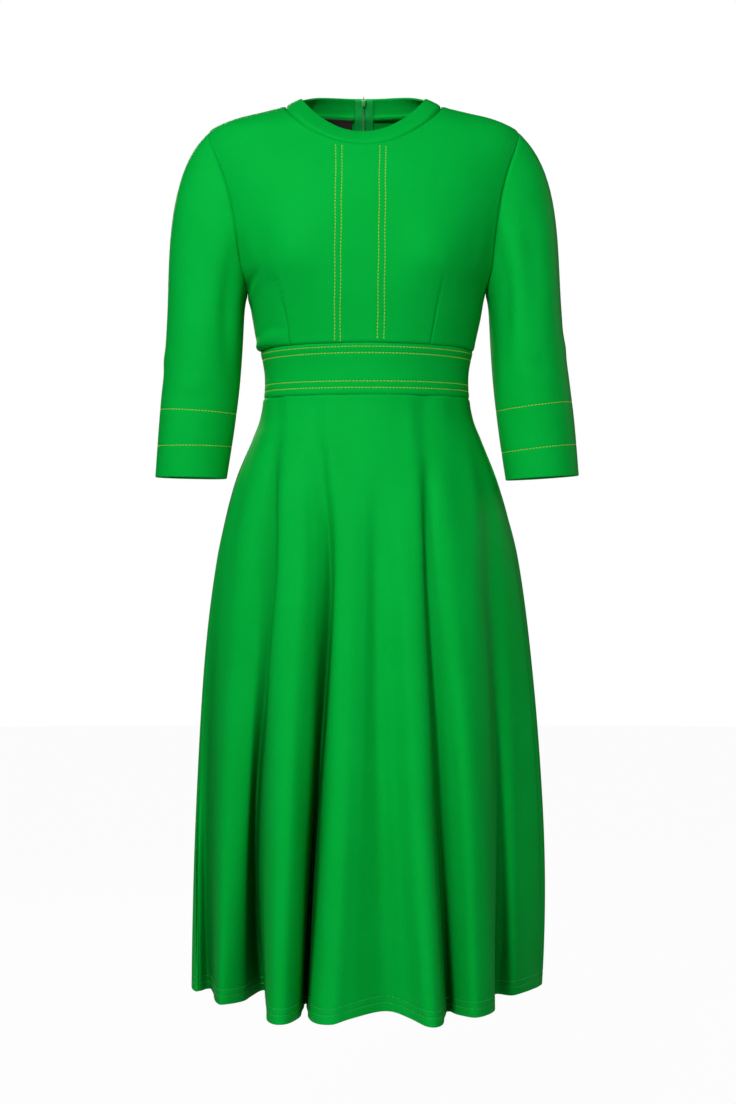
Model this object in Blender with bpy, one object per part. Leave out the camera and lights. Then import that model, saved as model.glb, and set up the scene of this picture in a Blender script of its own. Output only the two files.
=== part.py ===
"""Fit and flare dress, filled out as worn: thin cloth walls, one solid for each cut piece.

Metres, +Z up, -Y is the front. The origin lies between the two neck ends of the shoulder
seams, where the wearer's shoulders hold the dress. Around the body an angle is 0 at the centre
front, +90 at the side at +X, 180 at the centre back and -90 at the side at -X.
"""
import math
from collections import namedtuple

import bmesh
import bpy
import numpy as np

# ---- cloth and seams ----
CLOTH = 0.0015
BAND_CLOTH = 0.0030
SEAM_GAP = 0.0003
ZIP_SLIT = 0.0008          # half the opening that the slider's web passes through
SLOPE_STEP, SHARE_STEP = 0.001, 0.05    # small steps for slopes, in metres and as a share

# ---- the form under the cloth, level by level ----
Section = namedtuple("Section", "level half_width front back square")
SECTIONS = [
    Section(0.0040, 0.080, 0.015, 0.066, 2.00),
    Section(-0.0040, 0.097, 0.032, 0.075, 2.00),
    Section(-0.0125, 0.131, 0.044, 0.083, 2.00),
    Section(-0.0200, 0.160, 0.054, 0.088, 2.00),
    Section(-0.0275, 0.179, 0.062, 0.092, 2.05),
    Section(-0.0350, 0.1915, 0.068, 0.095, 2.10),
    Section(-0.0500, 0.200, 0.077, 0.100, 2.15),
    Section(-0.0640, 0.2015, 0.085, 0.103, 2.20),
    Section(-0.0900, 0.1985, 0.098, 0.107, 2.20),
    Section(-0.1270, 0.190, 0.109, 0.111, 2.20),
    Section(-0.1680, 0.178, 0.116, 0.112, 2.20),
    Section(-0.2090, 0.163, 0.118, 0.110, 2.20),
    Section(-0.2380, 0.1485, 0.117, 0.107, 2.20),
    Section(-0.2700, 0.142, 0.113, 0.103, 2.15),
    Section(-0.3050, 0.1335, 0.108, 0.098, 2.05),
    Section(-0.3450, 0.127, 0.104, 0.095, 2.00),
    Section(-0.3700, 0.128, 0.1045, 0.097, 2.00),
    Section(-0.3950, 0.1325, 0.108, 0.102, 2.00),
    Section(-0.4200, 0.1425, 0.116, 0.111, 2.00),
    Section(-0.4700, 0.1625, 0.132, 0.128, 2.00),
    Section(-0.5200, 0.177, 0.1445, 0.140, 2.00),
    Section(-0.5700, 0.1875, 0.1545, 0.148, 2.00),
    Section(-0.6700, 0.1995, 0.168, 0.160, 2.00),
    Section(-0.7700, 0.207, 0.178, 0.169, 2.00),
    Section(-0.9200, 0.2145, 0.188, 0.179, 2.00),
    Section(-1.1100, 0.2205, 0.195, 0.186, 2.00),
]
LEAN_X = -0.0037           # the neck sits this far off the middle, as worn
LEAN_TOP, LEAN_BOTTOM = -0.020, -0.200

# ---- bust cups, shaped by the two front darts ----
CUP_X, CUP_LEVEL, CUP_RISE = 0.088, -0.198, 0.014
CUP_WIDTH, CUP_ABOVE, CUP_BELOW = 0.046, 0.058, 0.046
CUP_FADE = 2.5             # how soon a cup dies away towards the side

# ---- seams around the body: level at the front, side and back ----
Seam = namedtuple("Seam", "front side back")
WAIST_TOP = Seam(-0.3075, -0.310, -0.3075)
WAIST_BOTTOM = Seam(-0.3695, -0.369, -0.3690)
HEM_LEVEL = -1.110

# ---- neck ----
NECK_HALF, NECK_FRONT, NECK_SIDE = 0.0969, -0.063, -0.004
NECK_DIP = 1.7             # how sharply the neckline falls towards the front
BAND_HALF, BAND_FRONT_Y, BAND_BACK_Y = 0.0785, -0.068, 0.065
BAND_TOP = Seam(-0.046, 0.006, 0.0175)
BAND_BACK_RISE = 6
BAND_ROUND = 0.0015

# ---- armholes: from the underarm up to the shoulder tip ----
UNDERARM, SHOULDER_TIP = -0.238, -0.035
Bite = namedtuple("Bite", "low high")          # degrees taken off the side line
FRONT_BITE, BACK_BITE = Bite(27, 38), Bite(23, 32)

# ---- sleeves: rings from below the underarm to the cuff ----
Ring = namedtuple("Ring", "level inner outer_left outer_right front back")
SLEEVE_RINGS = [
    Ring(-0.270, 0.1530, 0.2485, 0.2445, -0.0600, 0.0500),
    Ring(-0.310, 0.1550, 0.2508, 0.2482, -0.0605, 0.0470),
    Ring(-0.350, 0.1580, 0.2540, 0.2530, -0.0605, 0.0430),
    Ring(-0.400, 0.1640, 0.2578, 0.2585, -0.0600, 0.0370),
    Ring(-0.467, 0.1735, 0.2625, 0.2640, -0.0585, 0.0305),
]
CUFF_TILT = {"left": 0.001, "right": 0.003}
CAP_OUT_UNDERARM, CAP_OUT_TIP, CAP_FORWARD = 0.28, 0.74, 0.16
CAP_GAP = 0.0004           # the cap leaves the armhole at a slant, so its gap is measured so

# ---- skirt folds at the hem, in order around the body from the side at -X ----
# waist and hip are the angles where a fold's crest starts and where it passes the hips
Fold = namedtuple("Fold", "name waist hip start in_x in_y x y out_x out_y valley_x valley_y")
FOLDS = [
    Fold("left_side", -98, -92, -0.50, -.2180, .066, -.2203, .036, -.2130, .008, -.1960, .026),
    Fold("left_front", -74, -58, -0.42, -.1843, -.060, -.1721, -.080, -.1503, -.054, -.1262, .014),
    Fold("left_mid", -47, -28, -0.42, -.1192, -.150, -.0971, -.203, -.0786, -.160, -.0743, -.073),
    Fold("centre_left", -10, -6, -0.46, -.0668, -.160, -.0423, -.209, -.0192, -.186, .0223, -.118),
    Fold("centre_right", 22, 13, -0.44, .0494, -.160, .0714, -.221, .0900, -.180, .0966, -.124),
    Fold("right_mid", 50, 35, -0.50, .1090, -.143, .1308, -.161, .1539, -.110, .1587, -.014),
    Fold("right_side", 92, 80, -0.52, .1846, -.017, .2220, .050, .2180, .074, .1960, .084),
    Fold("back_right", 120, 118, -0.48, .1990, .112, .1950, .140, .1720, .152, .1400, .094),
    Fold("back_mid_right", 142, 143, -0.45, .1370, .145, .1160, .182, .0930, .168, .0760, .094),
    Fold("back_near_right", 163, 165, -0.53, .0670, .160, .0450, .198, .0230, .187, .0020, .152),
    Fold("back_near_left", -166, -168, -0.53, -.0200, .184, -.0430, .203, -.0640, .168, -.0700, .088),
    Fold("back_mid_left", -144, -146, -0.46, -.0860, .150, -.1100, .188, -.1340, .165, -.1410, .090),
    Fold("back_left", -120, -120, -0.49, -.1620, .128, -.1850, .143, -.2040, .116, -.1960, .080),
]
FOLD_SHARE = 0.28          # how far towards its neighbour a fold's flank starts at the waist
HIP_LEVEL = -0.600
TURN_ABOVE_HIPS, TURN_BELOW_HIPS = 2.0, 1.5    # how late a fold line swings to its new angle
FOLD_GROWTH = 1.25

# ---- how finely each piece is cut into facets ----
BODICE_COLUMNS, SIDE_ROWS, ARM_ROWS, SHOULDER_ROWS = 10, 3, 8, 3
RELAX_TURNS = 3
ROW_SWEEP = 1.9            # bodice rows rise fast from the front and run level to the armhole
CAP_ROWS, TUBE_ROWS = 6, 4
WAIST_COLUMNS, WAIST_ROWS = 10, 2
BAND_COLUMNS, BAND_ROWS = 30, 2
SKIRT_STEP, SKIRT_ROWS, SKIRT_SPREAD = 0.5, 8, 1.25
EDGE_ROOM = 0.3            # no column is nearer to a side line than this share of a step

# ---- zip at the centre back; distances run down the tape from the top of the neckband ----
TAPE_START, CHAIN_START, CHAIN_END, TAPE_END = 0.0010, 0.0080, 0.5650, 0.5770
TAPE_CLEAR, TAPE_CLOTH, TAPE_IN, TAPE_OUT = 0.0009, 0.0010, 0.0022, 0.0120
CHAIN_HALF, CHAIN_THICK = 0.0017, 0.0016
STOP_START, STOP_END, STOP_THICK = 0.5656, 0.5692, 0.0026
SLIDER_SHARE = 0.95        # where the slider sits on the neckband, from its seam to its top
SLIDER_HALF, SLIDER_TALL, SLIDER_THICK, SLIDER_CLEAR = 0.0028, 0.0088, 0.0026, 0.0010
WEB_HALF, WEB_OUT, WEB_TALL = 0.0005, 0.0036, 0.0072
WINDOW_LOW, WINDOW_HIGH, WINDOW_TALL = 0.0004, 0.0026, 0.0044
PIVOT_OUT = 0.0015
TAB_HALF, TAB_LONG, TAB_THICK = 0.0023, 0.0185, 0.0010
TAB_SLOT_HALF, TAB_SLOT_LONG, TAB_BAR = 0.0010, 0.0045, 0.0005
CORNER, CORNER_STEPS = 0.0008, 3

# ---- neck label: how far from the centre back, and its place between two rows of the panel ----
LABEL_NEAR, LABEL_FAR, LABEL_TOP, LABEL_TALL = 0.0140, 0.0540, 0.0012, 0.018
LABEL_CLEAR, LABEL_CLOTH, LABEL_COLUMNS = 0.0007, 0.0010, 4

# ---- finishes ----
Finish = namedtuple("Finish", "red green blue roughness metallic")
KNIT = Finish(0.003, 0.340, 0.040, 0.62, 0.0)
TAPE = Finish(0.004, 0.260, 0.035, 0.80, 0.0)
COIL = Finish(0.010, 0.330, 0.050, 0.40, 0.0)
SLIDER = Finish(0.070, 0.560, 0.100, 0.35, 0.0)
LABEL = Finish(0.015, 0.014, 0.010, 0.70, 0.0)

SIDES = (("right", 1), ("left", -1))


def smooth_table(knots, values):
    """A curve through the values at the knots that never overshoots them."""
    order = np.argsort(knots)
    x = np.asarray(knots, float)[order]
    y = np.asarray(values, float)[order]
    step = np.diff(x)
    slope = np.diff(y) / step
    tangent = np.concatenate([slope[:1], np.zeros(len(x) - 2), slope[-1:]])
    product = slope[:-1] * slope[1:]
    total = np.where(product > 0, slope[:-1] + slope[1:], 1.0)
    tangent[1:-1] = np.where(product > 0, 2 * product / total, 0.0)

    def curve(at):
        at = np.clip(at, x[0], x[-1])
        i = np.clip(np.searchsorted(x, at) - 1, 0, len(x) - 2)
        s = (at - x[i]) / step[i]
        rise = (3 - 2 * s) * s * s
        start = s * (1 - s) ** 2 * step[i] * tangent[i]
        end = s * s * (1 - s) * step[i] * tangent[i + 1]
        return y[i] * (1 - rise) + y[i + 1] * rise + start - end

    return curve


def column_curve(rows, knot, value):
    return smooth_table([getattr(r, knot) for r in rows], [getattr(r, value) for r in rows])


HALF_WIDTH = column_curve(SECTIONS, "level", "half_width")
FRONT = column_curve(SECTIONS, "level", "front")
BACK = column_curve(SECTIONS, "level", "back")
SQUARE = column_curve(SECTIONS, "level", "square")


def soft_step(value):
    value = np.clip(value, 0.0, 1.0)
    return value * value * (3 - 2 * value)


def lean(level):
    return LEAN_X * soft_step((level - LEAN_BOTTOM) / (LEAN_TOP - LEAN_BOTTOM))


def seam_level(seam, angle):
    """Level of a seam around the body, from its front, side and back levels."""
    c = np.cos(np.radians(angle))
    end = np.where(c > 0, seam.front, seam.back)
    return seam.side + (end - seam.side) * c * c


def body_point(angle, level):
    """A point of the dress above the skirt, on the outer face of the cloth."""
    s = np.sin(np.radians(angle))
    c = np.cos(np.radians(angle))
    power = 2 / SQUARE(level)
    x = HALF_WIDTH(level) * np.sign(s) * np.abs(s) ** power
    depth = np.where(c > 0, FRONT(level), BACK(level))
    y = -depth * np.sign(c) * np.abs(c) ** power
    tall = np.where(level > CUP_LEVEL, CUP_ABOVE, CUP_BELOW)
    height = np.exp(-((level - CUP_LEVEL) / tall) ** 2)
    across = np.exp(-((x - CUP_X) / CUP_WIDTH) ** 2) + np.exp(-((x + CUP_X) / CUP_WIDTH) ** 2)
    y = y - CUP_RISE * height * across * soft_step(CUP_FADE * c)
    return np.stack([x + lean(level), y, level + 0 * x], axis=-1)


def angle_at(x, level):
    """The angle, from the centre front, at which the form reaches a given half width."""
    share = np.clip(np.abs(x) / HALF_WIDTH(level), 0, 1)
    return np.degrees(np.arcsin(share ** (SQUARE(level) / 2)))


def neck_domain(turn):
    """Angle and level of the neck seam, turn degrees around the neck from the front."""
    c = np.maximum(np.cos(np.radians(turn)), 0)
    level = NECK_SIDE + (NECK_FRONT - NECK_SIDE) * c ** NECK_DIP
    angle = angle_at(NECK_HALF * np.sin(np.radians(turn)), level)
    return np.where(np.asarray(turn) > 90, 180 - angle, angle), level


def armhole_domain(share, bite, back):
    """Angle and level of the armhole seam, from the underarm (0) to the shoulder tip (1)."""
    middle = (UNDERARM + SHOULDER_TIP) / 2
    level = middle + (UNDERARM - middle) * np.cos(math.pi * share)
    taken = np.sin(math.pi * share) * (bite.low + (bite.high - bite.low) * share ** 2)
    return (90 + taken if back else 90 - taken), level


def shoulder_levels(count):
    """Levels down the shoulder seam, evenly spaced in width from its tip to the neck."""
    fine = np.linspace(SHOULDER_TIP, NECK_SIDE, 200)
    wide = HALF_WIDTH(fine)
    wanted = np.linspace(wide[0], wide[-1], count + 1)[1:]
    return np.interp(-wanted, -wide, fine)


def bodice_domain(back):
    """Angles and levels of the grid of one half of the bodice, front or back."""
    rows = SIDE_ROWS + ARM_ROWS + SHOULDER_ROWS
    u = np.linspace(0, 1, BODICE_COLUMNS + 1)[None, :]
    v = np.linspace(0, 1, rows + 1)[:, None]
    middle = 180.0 if back else 0.0
    neck_angle, neck_level = neck_domain(180 - 90 * u[0] if back else 90 * u[0])
    waist_angle = middle + (90 - middle) * u[0]
    waist_level = seam_level(WAIST_TOP, waist_angle)
    side = np.linspace(waist_level[-1], UNDERARM, SIDE_ROWS + 1)[:-1]
    share = np.linspace(0, 1, ARM_ROWS + 1)
    arm_angle, arm_level = armhole_domain(share, BACK_BITE if back else FRONT_BITE, back)
    edge_level = np.concatenate([side, arm_level, shoulder_levels(SHOULDER_ROWS)])
    edge_angle = np.concatenate([side * 0 + 90, arm_angle, np.full(SHOULDER_ROWS, 90.0)])
    middle_level = np.linspace(waist_level[0], neck_level[0], rows + 1)

    def blend(left, right, bottom, top, w):
        straight = (1 - w) * left[:, None] + w * right[:, None]
        lower = bottom[None, :] - ((1 - w) * bottom[0] + w * bottom[-1])
        upper = top[None, :] - ((1 - w) * top[0] + w * top[-1])
        return straight + (1 - v) * lower + v * upper

    angle = blend(np.full(rows + 1, middle), edge_angle, waist_angle, neck_angle, u)
    sweep = 1 - (1 - u) ** ROW_SWEEP
    level = blend(middle_level, edge_level, waist_level, neck_level, sweep)
    for grid in (angle, level):
        for _ in range(RELAX_TURNS):
            around = grid[:-2, 1:-1] + grid[2:, 1:-1] + grid[1:-1, :-2] + grid[1:-1, 2:]
            grid[1:-1, 1:-1] = around / 4
    return angle, level


def band_point(turn, share):
    """A point of the neckband's outer face, from its seam (0) to its top edge (1)."""
    angle, level = neck_domain(np.abs(turn))
    low = body_point(np.sign(turn) * angle, level)
    s = np.sin(np.radians(turn))
    c = np.cos(np.radians(turn))
    y = np.where(c > 0, BAND_FRONT_Y, -BAND_BACK_Y) * c
    front = BAND_TOP.side + (BAND_TOP.front - BAND_TOP.side) * np.maximum(c, 0) ** NECK_DIP
    back = BAND_TOP.back + (BAND_TOP.side - BAND_TOP.back) * np.abs(s) ** BAND_BACK_RISE
    top = np.stack([LEAN_X + BAND_HALF * s, y, np.where(c > 0, front, back)], axis=-1)
    share = np.asarray(share)[..., None]
    out = np.stack([s, -c, 0 * s], axis=-1) * BAND_ROUND * np.sin(math.pi * share)
    return low * (1 - share) + top * share + out


def slopes(surface, a, b, step_a, step_b):
    along = surface(a + step_a, b) - surface(a - step_a, b)
    up = surface(a, b + step_b) - surface(a, b - step_b)
    return along, up


def unit(vectors):
    return vectors / np.linalg.norm(vectors, axis=-1, keepdims=True)


def body_normal(angle, level):
    along, up = slopes(body_point, angle, level, 0.5, SLOPE_STEP)
    return unit(np.cross(along, up))


def armhole_ring(side):
    """The armhole seam as a closed ring, and the outward normals of the bodice along it."""
    share = np.linspace(0, 1, ARM_ROWS + 1)
    front = armhole_domain(share, FRONT_BITE, False)
    back = armhole_domain(share[-2:0:-1], BACK_BITE, True)
    angle = np.concatenate([front[0], back[0]]) * side
    level = np.concatenate([front[1], back[1]])
    return body_point(angle, level), body_normal(angle, level)


def sleeve_ring(side, turn, level):
    """The sleeve below the armhole: turn is 0 next to the body, 90 in front, 180 outside."""
    name = "outer_right" if side > 0 else "outer_left"
    inner, outer = (column_curve(SLEEVE_RINGS, "level", n)(level) for n in ("inner", name))
    front, back = (column_curve(SLEEVE_RINGS, "level", n)(level) for n in ("front", "back"))
    c = np.cos(np.radians(turn))
    x = (inner + outer) / 2 - (outer - inner) / 2 * c
    y = (front + back) / 2 - (back - front) / 2 * np.sin(np.radians(turn))
    top, bottom = SLEEVE_RINGS[0].level, SLEEVE_RINGS[-1].level
    tilt = CUFF_TILT["right" if side > 0 else "left"] * (top - level) / (top - bottom)
    return np.stack([side * x, y, level - tilt * c], axis=-1)


def sleeve_grid(side):
    """Outer points and inner offset directions of a sleeve, ring by ring."""
    count = 2 * ARM_ROWS
    turn = np.arange(count) * 360 / count
    seam, seam_normal = armhole_ring(side)
    around = np.roll(seam, -1, axis=0) - np.roll(seam, 1, axis=0)
    off = unit(np.cross(around, seam_normal)) * side
    c = np.cos(np.radians(turn))
    out = CAP_OUT_UNDERARM + (CAP_OUT_TIP - CAP_OUT_UNDERARM) * (1 - c) / 2
    forward = -CAP_FORWARD * np.sin(np.radians(turn))
    down = -np.sqrt(1 - out ** 2 - forward ** 2)
    leave = np.stack([side * out, forward, down], axis=-1)
    start = seam + CAP_GAP * unit(off + leave)
    top = SLEEVE_RINGS[0].level
    end = sleeve_ring(side, turn, top + 0 * turn)
    arrive = unit(sleeve_ring(side, turn, top - 0.01 + 0 * turn) - end)
    reach = np.linalg.norm(end - start, axis=-1, keepdims=True)
    rings = []
    for s in np.linspace(0, 1, CAP_ROWS + 1):
        rise = (3 - 2 * s) * s * s
        ring = start * (1 - rise) + end * rise
        rings.append(ring + s * (1 - s) ** 2 * reach * leave - s * s * (1 - s) * reach * arrive)
    for level in np.linspace(top, SLEEVE_RINGS[-1].level, TUBE_ROWS + 1)[1:]:
        rings.append(sleeve_ring(side, turn, level + 0 * turn))
    points = np.array(rings)
    across = np.roll(points, -1, axis=1) - np.roll(points, 1, axis=1)
    normal = unit(np.cross(across, np.gradient(points, axis=0)) * -side)
    toward = np.maximum(np.sum(normal[0] * off, axis=-1, keepdims=True), 0)
    normal[0] = normal[0] - toward * off
    return points, normal


def crossing_angles(name):
    """Angles of all fold points at the waist or the hips, from the crests' own angles."""
    crest = np.unwrap([getattr(fold, name) for fold in FOLDS], period=360)
    following = np.append(crest[1:], crest[0] + 360)
    before = np.append(crest[-1] - 360, crest[:-1])
    flank_in = crest - FOLD_SHARE * (crest - before)
    flank_out = crest + FOLD_SHARE * (following - crest)
    return np.stack([flank_in, crest, flank_out, (crest + following) / 2], axis=-1).ravel()


WAIST_ANGLES = crossing_angles("waist")
HIP_ANGLES = crossing_angles("hip")
HEM_X = np.array([(f.in_x, f.x, f.out_x, f.valley_x) for f in FOLDS]).ravel()
HEM_Y = np.array([(f.in_y, f.y, f.out_y, f.valley_y) for f in FOLDS]).ravel()
FOLD_STARTS = np.repeat([fold.start for fold in FOLDS], 4)
HEM_SIDE = HEM_X / HALF_WIDTH(HEM_LEVEL)
HEM_FRONT = -HEM_Y / np.where(HEM_Y < 0, FRONT(HEM_LEVEL), BACK(HEM_LEVEL))
HEM_REACH = np.hypot(HEM_SIDE, HEM_FRONT)
HEM_TURN = np.degrees(np.arctan2(HEM_SIDE, HEM_FRONT))
HEM_ANGLES = HIP_ANGLES + (HEM_TURN - HIP_ANGLES + 180) % 360 - 180


def fold_points(level):
    """The skirt's plan at one level: the points of every fold, in order."""
    if level > HIP_LEVEL:
        share = ((level - HIP_LEVEL) / (WAIST_BOTTOM.side - HIP_LEVEL)) ** TURN_ABOVE_HIPS
        angle = HIP_ANGLES + (WAIST_ANGLES - HIP_ANGLES) * share
    else:
        share = ((level - HIP_LEVEL) / (HEM_LEVEL - HIP_LEVEL)) ** TURN_BELOW_HIPS
        angle = HIP_ANGLES + (HEM_ANGLES - HIP_ANGLES) * share
    grown = np.clip((FOLD_STARTS - level) / (FOLD_STARTS - HEM_LEVEL), 0, 1) ** FOLD_GROWTH
    reach = 1 + (HEM_REACH - 1) * grown
    s = np.sin(np.radians(angle)) * reach
    c = np.cos(np.radians(angle)) * reach
    y = -np.where(c > 0, FRONT(level), BACK(level)) * c
    return np.stack([HALF_WIDTH(level) * s, y, level + 0 * s], axis=-1)


def skirt_point(place, level):
    """A point of the skirt: place counts fold points around the closed plan curve."""
    points = fold_points(level)
    i = int(math.floor(place))
    s = place - i
    before, here, after, beyond = (points[(i + k) % len(points)] for k in (-1, 0, 1, 2))
    pull = 2 * here + (after - before) * s + (2 * before - 5 * here + 4 * after - beyond) * s * s
    return (pull + (3 * here - before - 3 * after + beyond) * s ** 3) / 2


def waist_angle(place):
    count = len(WAIST_ANGLES)
    turns, part = divmod(place, count)
    ring = np.append(WAIST_ANGLES, WAIST_ANGLES[0] + 360)
    return float(np.interp(part, np.arange(count + 1), ring)) + 360 * turns


def place_at(angle):
    """Where on the plan curve the waist angle is reached."""
    ring = np.append(WAIST_ANGLES, WAIST_ANGLES[0] + 360)
    wanted = WAIST_ANGLES[0] + (angle - WAIST_ANGLES[0]) % 360
    return float(np.interp(wanted, ring, np.arange(len(ring))))


def skirt_grid(start, end):
    """Outer points and normals of one skirt panel between two side lines, hem first."""
    first = math.ceil(start / SKIRT_STEP + EDGE_ROOM)
    inside = np.arange(first, end / SKIRT_STEP - EDGE_ROOM) * SKIRT_STEP
    places = np.concatenate([[start], inside, [end]])
    shares = 1 - np.linspace(1, 0, SKIRT_ROWS + 1) ** SKIRT_SPREAD
    points = np.zeros((len(shares), len(places), 3))
    normals = np.zeros_like(points)
    for j, place in enumerate(places):
        top = float(seam_level(WAIST_BOTTOM, waist_angle(place)))
        for i, share in enumerate(shares):
            level = HEM_LEVEL + (top - HEM_LEVEL) * share
            points[i, j] = skirt_point(place, level)
            along = skirt_point(place + 0.25, level) - skirt_point(place - 0.25, level)
            up = skirt_point(place, level + SLOPE_STEP) - skirt_point(place, level - SLOPE_STEP)
            normals[i, j] = np.cross(along, up)
    return points, unit(normals)


def trim(points, left=0.0, right=0.0, bottom=0.0, top=0.0):
    """Moves a panel's edges back from its seams, each by its own distance."""
    cut = points.copy()
    cut[:, 0] += unit(points[:, 1] - points[:, 0]) * left
    cut[:, -1] += unit(points[:, -2] - points[:, -1]) * right
    cut[0] += unit(points[1] - points[0]) * bottom
    cut[-1] += unit(points[-2] - points[-1]) * top
    return cut


def finish_material(name, finish):
    material = bpy.data.materials.new(name)
    material.use_nodes = True
    shader = material.node_tree.nodes["Principled BSDF"]
    shader.inputs["Base Color"].default_value = (finish.red, finish.green, finish.blue, 1)
    shader.inputs["Roughness"].default_value = finish.roughness
    shader.inputs["Metallic"].default_value = finish.metallic
    material.diffuse_color = (finish.red, finish.green, finish.blue, 1)
    return material


def make_object(name, mesh, finish):
    mesh.shade_smooth()
    mesh.set_sharp_from_angle(angle=math.radians(40))
    mesh.materials.append(finish_material(name + "_finish", finish))
    item = bpy.data.objects.new(name, mesh)
    bpy.context.scene.collection.objects.link(item)
    return item


def cloth_wall(name, points, normals, finish, thickness=CLOTH, closed=False):
    """A wall of cloth between a grid of outer points and the same grid moved inwards.

    Both faces are cut along the same diagonals, the shorter ones, so the wall stays even.
    """
    model = bmesh.new()
    outer = [[model.verts.new(p) for p in row] for row in points]
    inner = [[model.verts.new(p) for p in row] for row in points - normals * thickness]
    rows, columns = points.shape[:2]
    last = columns if closed else columns - 1
    for i in range(rows - 1):
        for j in range(last):
            k = (j + 1) % columns
            ring = [(i, j), (i, k), (i + 1, k), (i + 1, j)]
            rising = np.linalg.norm(points[ring[0]] - points[ring[2]])
            if rising > np.linalg.norm(points[ring[1]] - points[ring[3]]):
                ring = ring[1:] + ring[:1]
            for three in (ring[:3], [ring[0], *ring[2:]]):
                model.faces.new([outer[a][b] for a, b in three])
                model.faces.new([inner[a][b] for a, b in reversed(three)])
    for i in (0, rows - 1):
        for j in range(last):
            k = (j + 1) % columns
            model.faces.new((outer[i][j], outer[i][k], inner[i][k], inner[i][j]))
    if not closed:
        for j in (0, columns - 1):
            for i in range(rows - 1):
                model.faces.new((outer[i][j], outer[i + 1][j], inner[i + 1][j], inner[i][j]))
    bmesh.ops.recalc_face_normals(model, faces=model.faces)
    mesh = bpy.data.meshes.new(name)
    model.to_mesh(mesh)
    model.free()
    return make_object(name, mesh, finish)


def mirrored_grid(angle, level):
    """A whole front from one half: the columns run from -X to +X."""
    return np.hstack([-angle[:, :0:-1], angle]), np.hstack([level[:, :0:-1], level])


def bodice_back_grid(side):
    """One half of the back, columns from the centre back to the side."""
    half = SEAM_GAP / 2
    angle, level = bodice_domain(back=True)
    points = trim(body_point(side * angle, level), 0, half, half, half)
    points[:, 0, 0] += side * ZIP_SLIT
    return points, body_normal(side * angle, level)


def waistband_grid(start, end, columns):
    half = SEAM_GAP / 2
    angle = np.linspace(start, end, columns + 1)[None, :]
    share = np.linspace(0, 1, WAIST_ROWS + 1)[:, None]
    low, high = seam_level(WAIST_BOTTOM, angle), seam_level(WAIST_TOP, angle)
    level = low + (high - low) * share
    angle = angle + 0 * share
    at_back = abs(start) == 180
    points = trim(body_point(angle, level), 0 if at_back else half, half, half, half)
    if at_back:
        points[:, 0, 0] += math.copysign(ZIP_SLIT, start)
    return points, body_normal(angle, level)


def band_grid():
    """The neckband, columns all round from the centre back, rows from its seam to its top."""
    turn = np.linspace(-180, 180, BAND_COLUMNS + 1)[None, :]
    share = np.linspace(0, 1, BAND_ROWS + 1)[:, None] + 0 * turn
    turn = turn + 0 * share
    points = band_point(turn, share)
    along = band_point(turn + 1, share) - band_point(turn - 1, share)
    along[:, 0] = along[:, -1] = (-1, 0, 0)
    up = band_point(turn, share + SHARE_STEP) - band_point(turn, share - SHARE_STEP)
    points = trim(points, bottom=SEAM_GAP)
    points[:, 0, 0] -= ZIP_SLIT
    points[:, -1, 0] += ZIP_SLIT
    return points, unit(np.cross(along, up))


def skirt_back_grid(side):
    """One half of the skirt's back, columns from the centre back to the side."""
    back, flank = place_at(180), place_at(90 * side)
    if side < 0:
        flank += len(WAIST_ANGLES) if flank < back else 0
        points, normals = skirt_grid(back, flank)
    else:
        points, normals = (grid[:, ::-1] for grid in skirt_grid(flank, back))
    return trim(points, ZIP_SLIT, SEAM_GAP / 2, 0, SEAM_GAP / 2), normals


def make_bodice():
    half = SEAM_GAP / 2
    angle, level = mirrored_grid(*bodice_domain(back=False))
    points = trim(body_point(angle, level), half, half, half, half)
    cloth_wall("bodice_front", points, body_normal(angle, level), KNIT)
    for name, side in SIDES:
        cloth_wall("bodice_back_" + name, *bodice_back_grid(side), KNIT)


def make_sleeves():
    for name, side in SIDES:
        cloth_wall("sleeve_" + name, *sleeve_grid(side), KNIT, closed=True)


def make_waistband():
    cloth_wall("waistband_front", *waistband_grid(-90, 90, 2 * WAIST_COLUMNS), KNIT)
    for name, side in SIDES:
        grid = waistband_grid(180 * side, 90 * side, WAIST_COLUMNS)
        cloth_wall("waistband_back_" + name, *grid, KNIT)


def make_skirt():
    half = SEAM_GAP / 2
    points, normals = skirt_grid(place_at(-90), place_at(90))
    cloth_wall("skirt_front", trim(points, half, half, 0, half), normals, KNIT)
    for name, side in SIDES:
        cloth_wall("skirt_back_" + name, *skirt_back_grid(side), KNIT)


def back_strips(side):
    """Every panel beside the zip, top row first, columns from the centre back."""
    points, normals = band_grid()
    if side > 0:
        points, normals = points[:, ::-1], normals[:, ::-1]
    band = (points[:, :BAND_COLUMNS // 4], normals[:, :BAND_COLUMNS // 4], BAND_CLOTH)
    bodice = (*bodice_back_grid(side), CLOTH)
    waistband = (*waistband_grid(180 * side, 90 * side, WAIST_COLUMNS), CLOTH)
    skirt = (*skirt_back_grid(side), CLOTH)
    return [(p[::-1], n[::-1], thick) for p, n, thick in (band, bodice, waistband, skirt)]


def zip_line(side, x):
    """Points on the inside of the back, x away from the centre line, with their normals."""
    line, facing = [], []
    for points, normals, thickness in back_strips(side):
        for row, normal in list(zip(points, normals))[1 if line else 0:]:
            away = np.abs(row[:, 0] - row[0, 0]) + ZIP_SLIT
            reach = away.argmax() + 1
            spot = [np.interp(x, away[:reach], row[:reach, k]) for k in range(3)]
            out = unit(np.array([np.interp(x, away[:reach], normal[:reach, k]) for k in range(3)]))
            line.append(spot - out * (thickness + TAPE_CLEAR))
            facing.append(out)
    return np.array(line), np.array(facing)


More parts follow.
